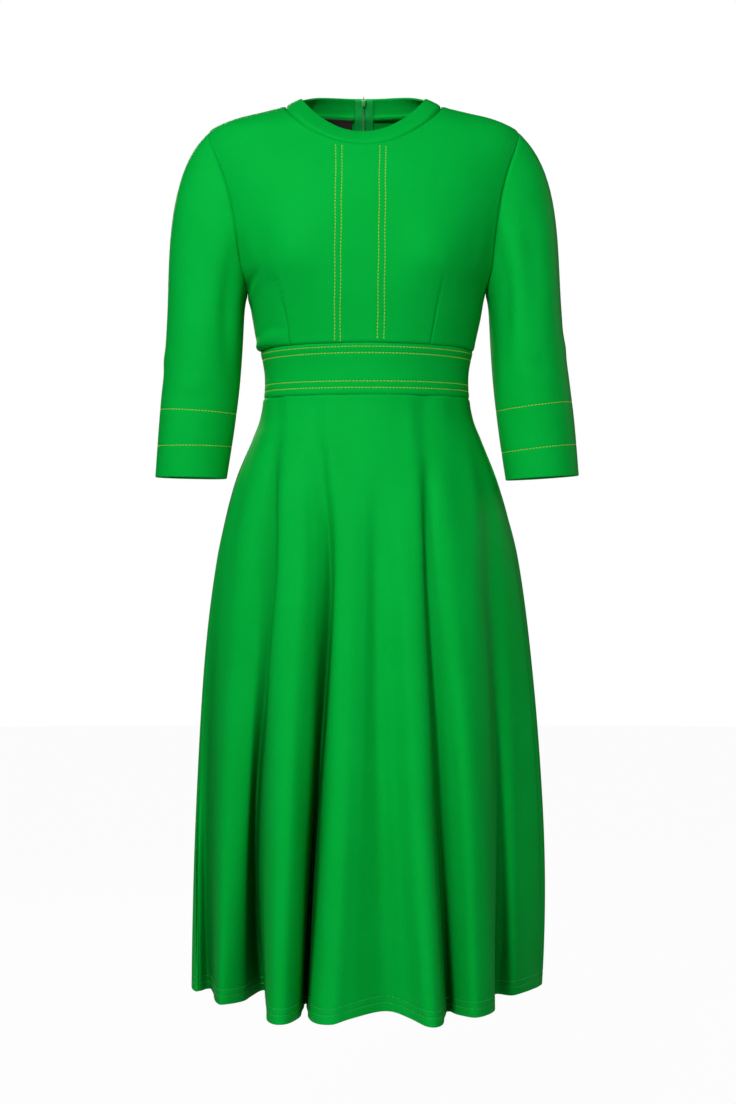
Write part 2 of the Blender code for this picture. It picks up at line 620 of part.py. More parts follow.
def zip_strip(name, columns, start, end, thickness, finish):
    """A strip lying inside the back along the zip, between two distances from the top."""
    lines = [zip_line(side, x) for side, x in columns]
    run = np.linalg.norm(np.diff(lines[0][0], axis=0), axis=1)
    far = np.concatenate([[0], np.cumsum(run)])
    stops = np.concatenate([[start], far[(far > start) & (far < end)], [end]])

    def cut(values):
        return np.stack([np.interp(stops, far, values[:, k]) for k in range(3)], axis=-1)

    points = np.stack([cut(line) for line, _ in lines], axis=1)
    normals = unit(np.stack([cut(facing) for _, facing in lines], axis=1))
    cloth_wall(name, points, normals, finish, thickness)


def rounded_rectangle(low, high):
    """Corner points of a rectangle with rounded corners, counted round from the first."""
    centre = (np.array(low) + np.array(high)) / 2
    half = np.abs(np.array(high) - np.array(low)) / 2
    corner = min(CORNER, 0.45 * half.min())
    outline = []
    for quarter, towards in enumerate(((1, 1), (-1, 1), (-1, -1), (1, -1))):
        for step in range(CORNER_STEPS):
            turn = math.pi / 2 * (quarter + step / (CORNER_STEPS - 1))
            away = np.array([math.cos(turn), math.sin(turn)])
            outline.append(centre + np.array(towards) * (half - corner) + away * corner)
    return outline


def plate(name, outline, low, high, hole=None, across_x=False):
    """A flat plate between two heights, with or without a hole of as many points."""
    def place(point, height):
        return (height, point[0], point[1]) if across_x else (point[0], height, point[1])

    model = bmesh.new()
    edges = [[model.verts.new(place(p, h)) for p in outline] for h in (low, high)]
    count = len(outline)
    following = [(i, (i + 1) % count) for i in range(count)]
    if hole is None:
        model.faces.new(edges[0])
        model.faces.new(edges[1])
    else:
        inner = [[model.verts.new(place(p, h)) for p in hole] for h in (low, high)]
        for i, k in following:
            model.faces.new((inner[0][i], inner[0][k], inner[1][k], inner[1][i]))
            for level in (0, 1):
                model.faces.new((edges[level][i], edges[level][k], inner[level][k], inner[level][i]))
    for i, k in following:
        model.faces.new((edges[0][i], edges[0][k], edges[1][k], edges[1][i]))
    bmesh.ops.recalc_face_normals(model, faces=model.faces)
    mesh = bpy.data.meshes.new(name)
    model.to_mesh(mesh)
    model.free()
    return mesh


def slider_frame():
    """Where the slider sits on the back of the neckband, and how far it tilts back."""
    top = band_point(180.0, SLIDER_SHARE + SHARE_STEP)
    foot = band_point(180.0, SLIDER_SHARE - SHARE_STEP)
    tilt = math.atan2(foot[1] - top[1], top[2] - foot[2])
    return band_point(180.0, SLIDER_SHARE), tilt


def place_hardware(item, spot, tilt, outward):
    item.location = spot + np.array([0, math.cos(tilt), math.sin(tilt)]) * outward
    item.rotation_euler = (tilt, 0, 0)
    return item


def make_zip():
    spot, tilt = slider_frame()
    for name, side in SIDES:
        columns = [(side, TAPE_IN), (side, TAPE_OUT)]
        zip_strip("zip_tape_" + name, columns, TAPE_START, TAPE_END, TAPE_CLOTH, TAPE)
    middle = [(-1, CHAIN_HALF), (1, CHAIN_HALF)]
    zip_strip("zip_chain", middle, CHAIN_START, CHAIN_END, CHAIN_THICK, COIL)
    zip_strip("zip_stop", middle, STOP_START, STOP_END, STOP_THICK, SLIDER)

    inside = -(BAND_CLOTH + TAPE_CLEAR + TAPE_CLOTH + SLIDER_CLEAR)
    face = rounded_rectangle((-SLIDER_HALF, -SLIDER_TALL / 2), (SLIDER_HALF, SLIDER_TALL / 2))
    body = plate("zip_slider", face, inside - SLIDER_THICK, inside)
    slider = place_hardware(make_object("zip_slider", body, SLIDER), spot, tilt, 0)
    outline = rounded_rectangle((inside - SLIDER_THICK / 2, -WEB_TALL / 2), (WEB_OUT, WEB_TALL / 2))
    window = rounded_rectangle((WINDOW_LOW, -WINDOW_TALL / 2), (WINDOW_HIGH, WINDOW_TALL / 2))
    web = plate("slider_web", outline, -WEB_HALF, WEB_HALF, window, across_x=True)
    cutter = place_hardware(make_object("slider_web", web, SLIDER), spot, tilt, 0)
    cutter.hide_render = True
    cutter.display_type = "WIRE"
    union = slider.modifiers.new("web", "BOOLEAN")
    union.operation = "UNION"
    union.solver = "EXACT"
    union.object = cutter

    outline = rounded_rectangle((-TAB_HALF, -TAB_LONG), (TAB_HALF, TAB_BAR))
    slot = rounded_rectangle((-TAB_SLOT_HALF, -TAB_BAR - TAB_SLOT_LONG), (TAB_SLOT_HALF, -TAB_BAR))
    tab = plate("zip_pull_tab", outline, -TAB_THICK / 2, TAB_THICK / 2, slot)
    place_hardware(make_object("zip_pull_tab", tab, SLIDER), spot, tilt, PIVOT_OUT)


def make_label():
    """The bare label under the neckband, laid on the inside of the left back panel."""
    points, normals = bodice_back_grid(-1)
    stops = np.linspace(LABEL_NEAR, LABEL_FAR, LABEL_COLUMNS + 1)
    rows = []
    for row, normal in zip(points[-2:], normals[-2:]):
        away = np.abs(row[:, 0] - row[0, 0])
        rows.append([[np.interp(stops, away, v[:, k]) for k in range(3)] for v in (row, normal)])
    low, high = (np.array(r).transpose(0, 2, 1) for r in rows)
    fall = np.linalg.norm(high[0] - low[0], axis=-1, keepdims=True)
    top, bottom = LABEL_TOP / fall, (LABEL_TOP + LABEL_TALL) / fall
    grid = np.array([high + (low - high) * share for share in (bottom, top)])
    facing = unit(grid[:, 1])
    outer = grid[:, 0] - facing * (CLOTH + LABEL_CLEAR)
    cloth_wall("neck_label", outer, facing, LABEL, LABEL_CLOTH)


def main():
    for item in list(bpy.data.objects):
        bpy.data.objects.remove(item, do_unlink=True)
    make_bodice()
    make_sleeves()
    cloth_wall("neckband", *band_grid(), KNIT, BAND_CLOTH)
    make_waistband()
    make_skirt()
    make_zip()
    make_label()


main()
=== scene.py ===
"""Fit and flare dress, filled out as worn: knitted panels, topstitching, zip and studio.

Metres, +Z up, -Y is the front. Around the body an angle is 0 at the centre front, +90 at the
side at +X, 180 at the centre back and -90 at the side at -X. Left and right are the viewer's.
"""
import math
from collections import namedtuple

import bmesh
import bpy
import numpy as np
from mathutils import Matrix, Vector
from mathutils.bvhtree import BVHTree


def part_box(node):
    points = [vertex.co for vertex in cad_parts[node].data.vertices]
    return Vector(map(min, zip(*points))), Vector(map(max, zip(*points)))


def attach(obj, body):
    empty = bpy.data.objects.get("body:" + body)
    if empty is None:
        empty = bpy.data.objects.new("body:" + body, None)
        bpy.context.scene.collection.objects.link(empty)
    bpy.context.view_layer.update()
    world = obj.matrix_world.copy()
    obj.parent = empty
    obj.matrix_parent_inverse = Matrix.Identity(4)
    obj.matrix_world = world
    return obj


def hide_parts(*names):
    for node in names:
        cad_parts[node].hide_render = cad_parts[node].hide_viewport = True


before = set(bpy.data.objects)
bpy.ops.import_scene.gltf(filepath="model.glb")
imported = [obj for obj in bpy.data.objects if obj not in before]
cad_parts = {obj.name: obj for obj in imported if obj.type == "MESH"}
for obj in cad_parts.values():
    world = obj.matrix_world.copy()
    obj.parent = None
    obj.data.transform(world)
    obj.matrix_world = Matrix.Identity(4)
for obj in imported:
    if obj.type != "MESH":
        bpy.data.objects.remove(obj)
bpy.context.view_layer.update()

bl_info = {
    "name": "Fit and Flare Dress",
    "version": (1, 0, 0),
    "blender": (4, 5, 0),
    "location": "3D View > Sidebar > Dress",
    "description": "Builds the cloth, stitching and zip of a fit and flare dress",
    "category": "Object",
}

BODY, PULL = "dress", "pull"
SIDES = (("right", 1), ("left", -1))

# ---- cloth and seams ----
SEAM_GAP = 0.0003
ZIP_SLIT, CLOSED_SLIT = 0.0006, 0.0003     # half the opening at the neckband, and below it
SLOPE_STEP, SHARE_STEP, TURN_STEP = 0.001, 0.02, 0.5       # for slopes: in metres, a share, degrees
# turnings behind a neighbour's edge; they start a little way from the rim, as a share of the width
TUCK_WIDTH, TUCK_CLEAR, TUCK_CLOTH, TUCK_START = 0.0045, 0.0006, 0.0008, 0.1
LEAST_HOLD = 0.06                          # the least that is left of a turning that fades out
BELOW_ARMHOLE, PAST_ARMHOLE = 0.02, 0.03   # how far the sleeve's own turning reaches along the side
TURN_UP_STEP = 0.0012                      # over which a turned-up edge grows to its full thickness
ALLOWANCE_FADE, ROW_SPREAD = 0.35, 3.0     # shares of the turnings' width and of the thread's
# slow waves: how many, their lengths, how far they slant, and how high they come together
WAVES, WAVE_LENGTHS, WAVE_SLANT, WAVES_TOGETHER = 7, (0.045, 0.110), 0.5, 2.6
LAY_REACH = 0.006                          # how far above and below the cloth a stitch looks for it

# ---- how strongly seams and slow waves show on each group of pieces ----
BODICE_ZIP_SEAM, ARMHOLE_SEAM, NECK_SEAM, BAND_SIDE_SEAM = 0.6, 0.8, 0.9, 0.7
SKIRT_SIDE_SEAM, SKIRT_ZIP_SEAM = 0.4, 0.7
NECK_WAVES, BAND_WAVES, SKIRT_WAVES, SKIRT_WAVE_TALL = 0.6, 0.7, 1.6, 3.0

# ---- grids: the whole, the coarse step, and zones with finer steps ----
Zone = namedtuple("Zone", "start end step")
GRADE_POINTS = 4001
PANEL_HALF, PANEL_TALL = 0.15, 0.24
FRONT_GRID = (PANEL_HALF, .0034, [Zone(0, .048, .0011), Zone(.055, .080, .0009), Zone(.1455, .15, .0007)])
BACK_GRID = (PANEL_HALF, .0034, [Zone(0, .004, .0009), Zone(.055, .080, .0009), Zone(.1455, .15, .0007)])
UP_GRID = (PANEL_TALL, .0028, [Zone(0, .005, .0008), Zone(.235, .24, .0008)])
SLEEVE_TURNS = (360, 2.7, [Zone(0, 4, .9), Zone(356, 360, .9)])
SLEEVE_CAP = (1.0, .05, [Zone(0, .10, .014)])
SLEEVE_STEP, SLEEVE_ROW_STEP, CUFF_EDGE, CUFF_EDGE_STEP = .0032, .0013, .003, .0008
SLEEVE_ROW_ZONES = ((.0425, .0110), (.0930, .0170))        # above the cuff's edge, and how tall
BAND_TURNS = (360, 2.0, [Zone(0, 2, .5), Zone(358, 360, .5)])
BAND_SHARES = (1.0, .075, [Zone(0, .15, .03), Zone(.85, 1, .04)])
WAIST_SHARES = (1.0, .020, [Zone(0, .08, .012), Zone(.92, 1, .012)])
WAIST_STEP, WAIST_EDGE, WAIST_EDGE_STEP = 1.35, 2, 0.4
SKIRT_STEP, SKIRT_EDGE, SKIRT_EDGE_STEP, SKIRT_PLACES = .0050, .006, .0016, 3001
PLACE_STEP, HEM_PLACE_STEP = 0.1, 0.05     # small steps along the skirt's plan, for slopes
EDGE_FACETS, BAND_FACETS = 6, 8            # round a cut edge, and round the neckband's fold

# ---- the form under the cloth, level by level ----
Section = namedtuple("Section", "level half_width front back square")
SECTIONS = [
    Section(0.0040, 0.080, 0.015, 0.066, 2.00),
    Section(-0.0040, 0.097, 0.032, 0.075, 2.00),
    Section(-0.0125, 0.131, 0.044, 0.083, 2.00),
    Section(-0.0200, 0.160, 0.054, 0.088, 2.00),
    Section(-0.0275, 0.179, 0.062, 0.092, 2.05),
    Section(-0.0350, 0.1915, 0.068, 0.095, 2.10),
    Section(-0.0500, 0.200, 0.077, 0.100, 2.15),
    Section(-0.0640, 0.2015, 0.085, 0.103, 2.20),
    Section(-0.0900, 0.1985, 0.098, 0.107, 2.20),
    Section(-0.1270, 0.190, 0.109, 0.111, 2.20),
    Section(-0.1680, 0.178, 0.116, 0.112, 2.20),
    Section(-0.2090, 0.163, 0.118, 0.110, 2.20),
    Section(-0.2380, 0.1485, 0.117, 0.107, 2.20),
    Section(-0.2700, 0.142, 0.113, 0.103, 2.15),
    Section(-0.3050, 0.1335, 0.108, 0.098, 2.05),
    Section(-0.3450, 0.127, 0.104, 0.095, 2.00),
    Section(-0.3700, 0.128, 0.1045, 0.097, 2.00),
    Section(-0.3950, 0.1325, 0.108, 0.102, 2.00),
    Section(-0.4200, 0.1425, 0.116, 0.111, 2.00),
    Section(-0.4700, 0.1625, 0.132, 0.128, 2.00),
    Section(-0.5200, 0.177, 0.1445, 0.140, 2.00),
    Section(-0.5700, 0.1875, 0.1545, 0.148, 2.00),
    Section(-0.6700, 0.1995, 0.168, 0.160, 2.00),
    Section(-0.7700, 0.207, 0.178, 0.169, 2.00),
    Section(-0.9200, 0.2145, 0.188, 0.179, 2.00),
    Section(-1.1100, 0.2205, 0.195, 0.186, 2.00),
]
LEAN_X = -0.0037
LEAN_TOP, LEAN_BOTTOM = -0.020, -0.200
CUP_X, CUP_LEVEL, CUP_RISE = 0.088, -0.198, 0.014
CUP_WIDTH, CUP_ABOVE, CUP_BELOW, CUP_FADE = 0.046, 0.058, 0.046, 2.5

# ---- seams around the body: level at the front, side and back ----
Seam = namedtuple("Seam", "front side back")
WAIST_TOP = Seam(-0.3075, -0.310, -0.3075)
WAIST_BOTTOM = Seam(-0.3695, -0.369, -0.3690)
HEM_LEVEL = -1.110

# ---- neck ----
NECK_HALF, NECK_FRONT, NECK_SIDE, NECK_DIP = 0.0969, -0.063, -0.004, 1.7
BAND_HALF, BAND_FRONT_Y, BAND_BACK_Y = 0.0785, -0.068, 0.065
BAND_TOP = Seam(-0.046, 0.006, 0.0175)
BAND_BACK_RISE, BAND_ROUND = 6, 0.0015

# ---- armholes and sleeves ----
UNDERARM, SHOULDER_TIP = -0.238, -0.035
EDGE_UNDERARM, EDGE_TIP = 3 / 14, 11 / 14   # where the armhole lies on the panel's outer edge
ROW_SWEEP = 1.9
COARSE_COLUMNS, SIDE_ROWS, ARM_ROWS, SHOULDER_ROWS, RELAX_TURNS = 10, 3, 8, 3, 3
# how close to its edges a fine grid is pulled; then the tries to unfold it, and the cells around
EDGE_HOLD, UNFOLD_TURNS, UNFOLD_REACH = 6, 60, 3
SHOULDER_POINTS, ARRIVE_STEP = 200, 0.01
Bite = namedtuple("Bite", "low high")
FRONT_BITE, BACK_BITE = Bite(27, 38), Bite(23, 32)
Ring = namedtuple("Ring", "level inner outer_left outer_right front back")
SLEEVE_RINGS = [
    Ring(-0.270, 0.1530, 0.2485, 0.2445, -0.0600, 0.0500),
    Ring(-0.310, 0.1550, 0.2508, 0.2482, -0.0605, 0.0470),
    Ring(-0.350, 0.1580, 0.2540, 0.2530, -0.0605, 0.0430),
    Ring(-0.400, 0.1640, 0.2578, 0.2585, -0.0600, 0.0370),
    Ring(-0.467, 0.1735, 0.2625, 0.2640, -0.0585, 0.0305),
]
CUFF_TILT = {"left": 0.001, "right": 0.003}
CAP_OUT_UNDERARM, CAP_OUT_TIP, CAP_FORWARD, CAP_GAP = 0.28, 0.74, 0.16, 0.0004
UNDERARM_RADIUS = 0.047
SLEEVE_MIDDLE, CUFF_MIDDLE = (0.205, -0.005), (0.21, -0.012)       # inside a sleeve, to tell its faces

# ---- skirt folds at the hem, in order around the body from the side at -X ----
Fold = namedtuple("Fold", "name waist hip start in_x in_y x y out_x out_y valley_x valley_y")
FOLDS = [
    Fold("left_side", -98, -92, -0.50, -.2180, .066, -.2203, .036, -.2130, .008, -.1960, .026),
    Fold("left_front", -74, -58, -0.42, -.1843, -.066, -.1721, -.080, -.1503, -.054, -.1262, .014),
    Fold("left_mid", -47, -24, -0.42, -.1172, -.172, -.0971, -.203, -.0786, -.160, -.0743, -.073),
    Fold("centre_left", -10, -6, -0.46, -.0658, -.180, -.0423, -.209, -.0192, -.199, .0223, -.172),
    Fold("centre_right", 22, 13, -0.44, .0494, -.190, .0714, -.221, .0887, -.205, .0966, -.124),
    Fold("right_mid", 50, 35, -0.50, .1090, -.143, .1308, -.161, .1535, -.120, .1587, -.014),
    Fold("right_side", 92, 80, -0.52, .1846, -.017, .2220, .050, .2180, .074, .1960, .084),
    Fold("back_right", 120, 118, -0.48, .1990, .112, .1950, .140, .1720, .152, .1400, .094),
    Fold("back_mid_right", 142, 143, -0.45, .1370, .145, .1160, .182, .0930, .168, .0760, .094),
    Fold("back_near_right", 163, 165, -0.53, .0670, .160, .0450, .198, .0230, .187, .0020, .152),
    Fold("back_near_left", -166, -168, -0.53, -.0200, .184, -.0430, .203, -.0640, .168, -.0700, .088),
    Fold("back_mid_left", -144, -146, -0.46, -.0860, .150, -.1100, .188, -.1340, .165, -.1410, .090),
    Fold("back_left", -120, -120, -0.49, -.1620, .128, -.1850, .143, -.2040, .116, -.1960, .080),
]
FOLD_SHARE, HIP_LEVEL = 0.28, -0.600
TURN_ABOVE_HIPS, TURN_BELOW_HIPS, FOLD_GROWTH = 2.0, 1.5, 0.85
RISE_PLACE, RISE_SPREAD, HEM_RISE = 15, 1.3, 0.0100        # the hem lifts in the middle of the front
PAINTED_SHADE_START, PAINTED_SHADE_SPAN = 0.985, 0.26    # share of the plan where painted shade starts to darken a fold's hollow, and over which it deepens
# painted shade in the hollows, made darker or lighter than their depth gives, by place on the plan
Shade = namedtuple("Shade", "place spread amount")
SHADES = [Shade(2.9, 0.8, .60), Shade(5.7, 0.8, -.85), Shade(22.6, 1.6, -.55)]
SHADE_TOP, SHADE_FULL = -0.52, -0.80        # the levels between which these painted shades come in
# how dark the painted shade along a dart's sunk seam is
DART_SHADE = 0.45

# ---- creases on each piece as seen from one side: three points in metres, then the shape ----
# start and end are 0 or 1 where a crease dies away and 0.5 where it runs on into a seam;
# trough is how deep the hollow beside the ridge is, as a share of its height
Crease = namedtuple("Crease", "a0 z0 a1 z1 a2 z2 width height trough start end")
CREASES = {
    ("bodice_front", "front"): [
        Crease(-.131, -.214, -.135, -.220, -.141, -.228, .005, -.0030, .5, 0, .5),
        Crease(-.150, -.150, -.140, -.185, -.128, -.212, .012, .0012, .6, 0, 1),
        Crease(.146, -.150, .140, -.185, .131, -.214, .012, .0010, .5, 0, 1),
        Crease(-.128, -.302, -.112, -.296, -.090, -.296, .006, .0022, .4, .3, 1),
    ],
    ("bodice_back_left", "back"): [
        Crease(-.040, -.240, -.075, -.252, -.110, -.250, .009, .0014, .6, 0, 1),
        Crease(-.030, -.275, -.070, -.284, -.112, -.276, .008, .0016, .6, 0, 1),
        Crease(-.070, -.060, -.110, -.100, -.140, -.160, .018, .0012, .6, 0, 1),
    ],
    ("bodice_back_right", "back"): [
        Crease(.035, -.250, .068, -.262, .105, -.256, .009, .0015, .6, 0, 1),
        Crease(.030, -.285, .062, -.292, .098, -.288, .007, .0013, .6, 0, 1),
        Crease(.075, -.065, .112, -.104, .138, -.150, .018, .0010, .6, 0, 1),
    ],
    ("sleeve_right", "front"): [
        Crease(.163, -.160, .171, -.230, .172, -.360, .011, -.0042, .8, 0, 1),
        Crease(.196, -.130, .200, -.200, .204, -.300, .016, -.0022, .6, 0, 1),
        Crease(.190, -.330, .206, -.346, .232, -.352, .010, .0012, .6, 0, 1),
    ],
    ("sleeve_right", "back"): [
        Crease(.178, -.220, .205, -.236, .235, -.226, .011, .0018, .7, 0, 1),
        Crease(.180, -.275, .205, -.292, .240, -.286, .010, .0022, .7, 0, 1),
        Crease(.184, -.318, .210, -.330, .244, -.318, .009, .0018, .7, 0, 1),
    ],
    ("sleeve_right", "right"): [
        Crease(-.040, -.300, -.005, -.306, .030, -.290, .012, .0010, .6, 0, 1),
    ],
    ("sleeve_left", "front"): [
        Crease(-.165, -.180, -.172, -.250, -.173, -.350, .010, -.0030, .8, 0, 1),
        Crease(-.200, -.140, -.206, -.210, -.206, -.310, .018, -.0020, .6, 0, 1),
        Crease(-.192, -.345, -.212, -.356, -.240, -.352, .010, .0010, .6, 0, 1),
    ],
    ("sleeve_left", "back"): [
        Crease(-.176, -.235, -.204, -.250, -.236, -.242, .011, .0017, .7, 0, 1),
        Crease(-.182, -.290, -.208, -.304, -.242, -.292, .010, .0022, .7, 0, 1),
        Crease(-.188, -.332, -.212, -.344, -.240, -.334, .009, .0015, .7, 0, 1),
    ],
    ("sleeve_left", "left"): [
        Crease(-.042, -.312, -.008, -.320, .026, -.304, .012, .0010, .6, 0, 1),
    ],
    ("skirt_front", "front"): [
        Crease(.124, -.410, .130, -.560, .134, -.800, .014, .0016, .7, 0, 1),
        Crease(-.120, -.400, -.140, -.520, -.152, -.700, .016, .0014, .7, 0, 1),
        Crease(.020, -.500, .026, -.640, .030, -.860, .020, -.0016, .5, 0, 1),
        Crease(-.1060, -.680, -.1000, -.520, -.0960, -.400, .010, .0020, .9, 0, .8),
        Crease(-.0490, -.680, -.0450, -.500, -.0470, -.392, .010, .0022, .9, 0, .8),
        Crease(.0550, -.392, .0590, -.500, .0680, -.680, .010, .0022, .9, .2, 1),
    ],
    ("skirt_back_left", "back"): [
        Crease(-.060, -.400, -.072, -.500, -.080, -.640, .014, .0014, .7, 0, 1),
        Crease(-.022, -.560, -.024, -.700, -.026, -.900, .016, -.0014, .5, 0, 1),
    ],
    ("skirt_back_right", "back"): [
        Crease(.066, -.396, .078, -.490, .088, -.620, .014, .0014, .7, 0, 1),
        Crease(.024, -.580, .026, -.720, .030, -.940, .016, -.0012, .5, 0, 1),
    ],
}
TROUGH_PLACE, TROUGH_SPREAD = 1.8, 1.2     # of the hollow beside a ridge, in widths of the ridge
LINE_POINTS, LEAST_FACING = 41, 0.1        # along a crease or dart, and how much its cloth faces the viewer

# ---- darts: from the tip down to the waist seam, as seen from one side ----
Dart = namedtuple("Dart", "piece face a0 z0 a1 z1 a2 z2 depth")
DARTS = [
    Dart("bodice_front", "front", -.1145, -.206, -.102, -.258, -.0925, -.314, .0026),
    Dart("bodice_front", "front", .0968, -.206, .0868, -.256, .0775, -.314, .0018),
    Dart("bodice_back_left", "back", -.078, -.170, -.075, -.240, -.070, -.314, .0018),
    Dart("bodice_back_right", "back", .071, -.170, .068, -.240, .063, -.314, .0018),
]
DART_TAPER, DART_END, DART_WIDTH = 0.20, 1.05, 0.55        # shares of its length and of a seam's width
FULL_START, FULL_PLACE, FULL_SPREAD = -0.4, 0.1, 0.25      # the fullness at a dart's tip, along it
FULL_WIDTH, FULL_RISE = 0.012, 0.4

# ---- rows of stitches ----
# on the front: x at the neck seam and at the waist seam
FrontRow = namedtuple("FrontRow", "top bottom")
FRONT_ROWS = [FrontRow(-.0371, -.0385), FrontRow(-.0294, -.0318), FrontRow(.0162, .0133),
              FrontRow(.0235, .0212)]
FRONT_ROW_TOP, FRONT_ROW_BOTTOM = -.0645, -.3060
ROW_WOBBLE, WOBBLE_RATE, WOBBLE_SHIFT = 0.00025, 95, 900
FRONT_SHIFT, BAND_SHIFT = .0007, .0009      # from row to row, so that stitches don't line up
FRONT_POINTS, BAND_POINTS, CUFF_POINTS, HEM_POINTS = 120, 260, 200, 1600
BAND_RUNS = ((-89.3, 89.3), (90.7, 178.6), (-178.6, -90.7))
CUFF_RUN = (1.5, 358.5)
HEM_THREAD = 0.8                            # the hem's thread as a share of the contrast thread
BAND_ROWS_BELOW = (.0044, .0120)            # below the waistband's top seam
BAND_ROWS_ABOVE = (.0082, .0160)            # above its bottom seam
CuffRow = namedtuple("CuffRow", "inner outer")
CUFF_ROWS = {"left": (CuffRow(.0385, .0375), CuffRow(.0790, .0830)),
             "right": (CuffRow(.0330, .0375), CuffRow(.0845, .0905))}
HEM_ROWS = (.0090, .0170)

# ---- how far the bodice swells out over the waist seam, by angle ----
Swell = namedtuple("Swell", "angle spread rise")
BLOUSING = [Swell(-70, 22, .0042), Swell(78, 18, .0014), Swell(0, 60, .0005),
            Swell(150, 25, .0016), Swell(-150, 25, .0018)]
BLOUSE_PEAK, BLOUSE_REACH = 0.007, 0.022

# ---- zip: levels on the dress, then distances from the slit and in from the cloth ----
ZIP_TOP, CHAIN_TOP, CHAIN_BOTTOM, TAPE_BOTTOM = 0.0168, 0.0088, -0.5440, -0.5560
TAPE_INNER, TAPE_OUTER, TAPE_COLUMNS, TAPE_STEP = 0.0008, 0.0120, 9, 0.0025
TAPE_CLEAR, TAPE_THICK, TAPE_RIBS, TAPE_RIB = 0.0016, 0.0007, 3, 0.00012
COIL_CLEAR, COIL_INNER, COIL_OUTER, COIL_STEP = 0.0023, 0.00055, 0.00200, 0.004
COIL_SHAPE = (0.00042, 0.00055, 0.0003, 0.0)                       # half width, half height, arch, sink
STOP_BEVEL = (0.0008, 4)
# how the inside of the back is found: beside the slit, how far off, the least share found, smoothing
BESIDE_ZIP, INSIDE_REACH, LEAST_FOUND, SMOOTH_TURNS = 0.0030, 0.4, 0.8, 6
SLIDER_SHARE = 0.95                        # where the slider sits on the band, from seam to top
SLIDER_IN, SLIDER_THICK = -0.0059, 0.0026  # from the band's outer face, and through the body
SLIDER_HALF, SLIDER_FOOT_HALF, SLIDER_TALL = 0.0028, 0.0020, 0.0088
WEB_HALF, WEB_OUT, WEB_TALL = 0.0005, 0.0036, 0.0072
WINDOW_LOW, WINDOW_HIGH, WINDOW_TALL = 0.0004, 0.0026, 0.0044
PIVOT_OUT = 0.0015
TAB_THICK = 0.0010
TAB_ACROSS = (-0.0023, -0.0010, 0.0010, 0.0023)
TAB_DOWN = (-0.0185, -0.0165, -0.0080, -0.0050, -0.0005, 0.0005)
FACING, NEAR, CLOSE = 0.9, 1e-4, 1e-5      # for telling faces and corners of the hard pieces
CROWN_INSETS = ((0.0007, 0.0004), (0.0005, 0.0002))                # width, then how far out
MOUTH_INSET, GRIP_INSET = (0.0003, -0.0010), (0.0003, -0.0002)
WINDOW_DRAFT = 0.0001
BODY_BEVEL, LOOP_BEVEL, TAB_BEVEL = (0.0003, 3), (0.00018, 2), (0.00018, 3)     # width, segments
BEVEL_ANGLE, SMOOTH_ANGLE = 30, 35

# ---- label ----
LABEL_MARGIN, LABEL_COLUMNS, LABEL_ROWS = 0.0005, 34, 18
LABEL_BOTTOM, LABEL_TOP = -0.0262, -0.0064
LABEL_SMOOTH, LABEL_CLEAR, LABEL_THICK = 4, 0.0013, 0.0006

# ---- studio: power in watts, places and sizes in metres, aim is a level on the dress ----
Lamp = namedtuple("Lamp", "name x y z size power aim")
LAMPS = [
    Lamp("key", -0.85, -3.6, 1.30, 0.4, 100, -0.50),
    Lamp("high", -1.8, -1.7, 1.9, 0.6, 32, -0.10),
    Lamp("fill", 1.9, -2.8, 0.2, 0.8, 13, -0.55),
    Lamp("back", -0.8, 3.0, 0.7, 1.4, 46, -0.60),
    Lamp("back_side", 2.6, 1.8, 0.4, 1.2, 12, -0.60),
]
WORLD_LIGHT = 0.02
FLOOR_RADIUS, FLOOR_CORNERS = 9.0, 96
CAMERA_PLACE, CAMERA_LENS, CAMERA_SENSOR = (0.0019, -3.0, -0.560), 78.26, 36.0


def length_property(name, text, value):
    return bpy.props.FloatProperty(name=name, description=text, default=value, unit="LENGTH")


class DressSizes(bpy.types.PropertyGroup):
    """Sizes of the cloth, seams and stitches."""

    cloth: length_property("Cloth", "Thickness of the double knit", 0.0015)
    band_cloth: length_property("Neckband", "Thickness of the doubled neckband", 0.0030)
    hem_cloth: length_property("Hem", "Thickness where the hem is turned up", 0.0024)
    hem_depth: length_property("Hem depth", "How far the hem is turned up", 0.0190)
    cuff_depth: length_property("Cuff depth", "How far a sleeve is turned up", 0.0400)
    seam_depth: length_property("Seam depth", "How far a seam sinks", 0.0010)
    seam_width: length_property("Seam width", "Half the width of a seam's dip", 0.0016)
    allowance: length_property("Allowance", "Width of the turnings that show through", 0.0095)
    allowance_rise: length_property("Allowance rise", "How far the turnings lift the cloth", 0.00022)
    unevenness: length_property("Unevenness", "Height of the cloth's slow waves", 0.00045)
    stitch_length: length_property("Stitch", "Length of one topstitch", 0.0031)
    stitch_gap: length_property("Stitch gap", "Gap between two topstitches", 0.0011)
    thread: length_property("Thread", "Half the width of the topstitching thread", 0.00052)
    stitch_dip: length_property("Stitch dip", "How far a row of stitches sinks", 0.00030)
    wale: length_property("Wale", "Width of one column of knit loops", 0.0010)
    course: length_property("Course", "Height of one row of knit loops", 0.0008)
    zip_pitch: length_property("Zip pitch", "Distance from one turn of the coil to the next", 0.0013)
    floor: length_property("Floor", "Level of the studio floor", -1.42)


def colour_property(name, text, value):
    return bpy.props.FloatVectorProperty(
        name=name, description=text, default=value, subtype="COLOR", size=3, min=0, max=1)


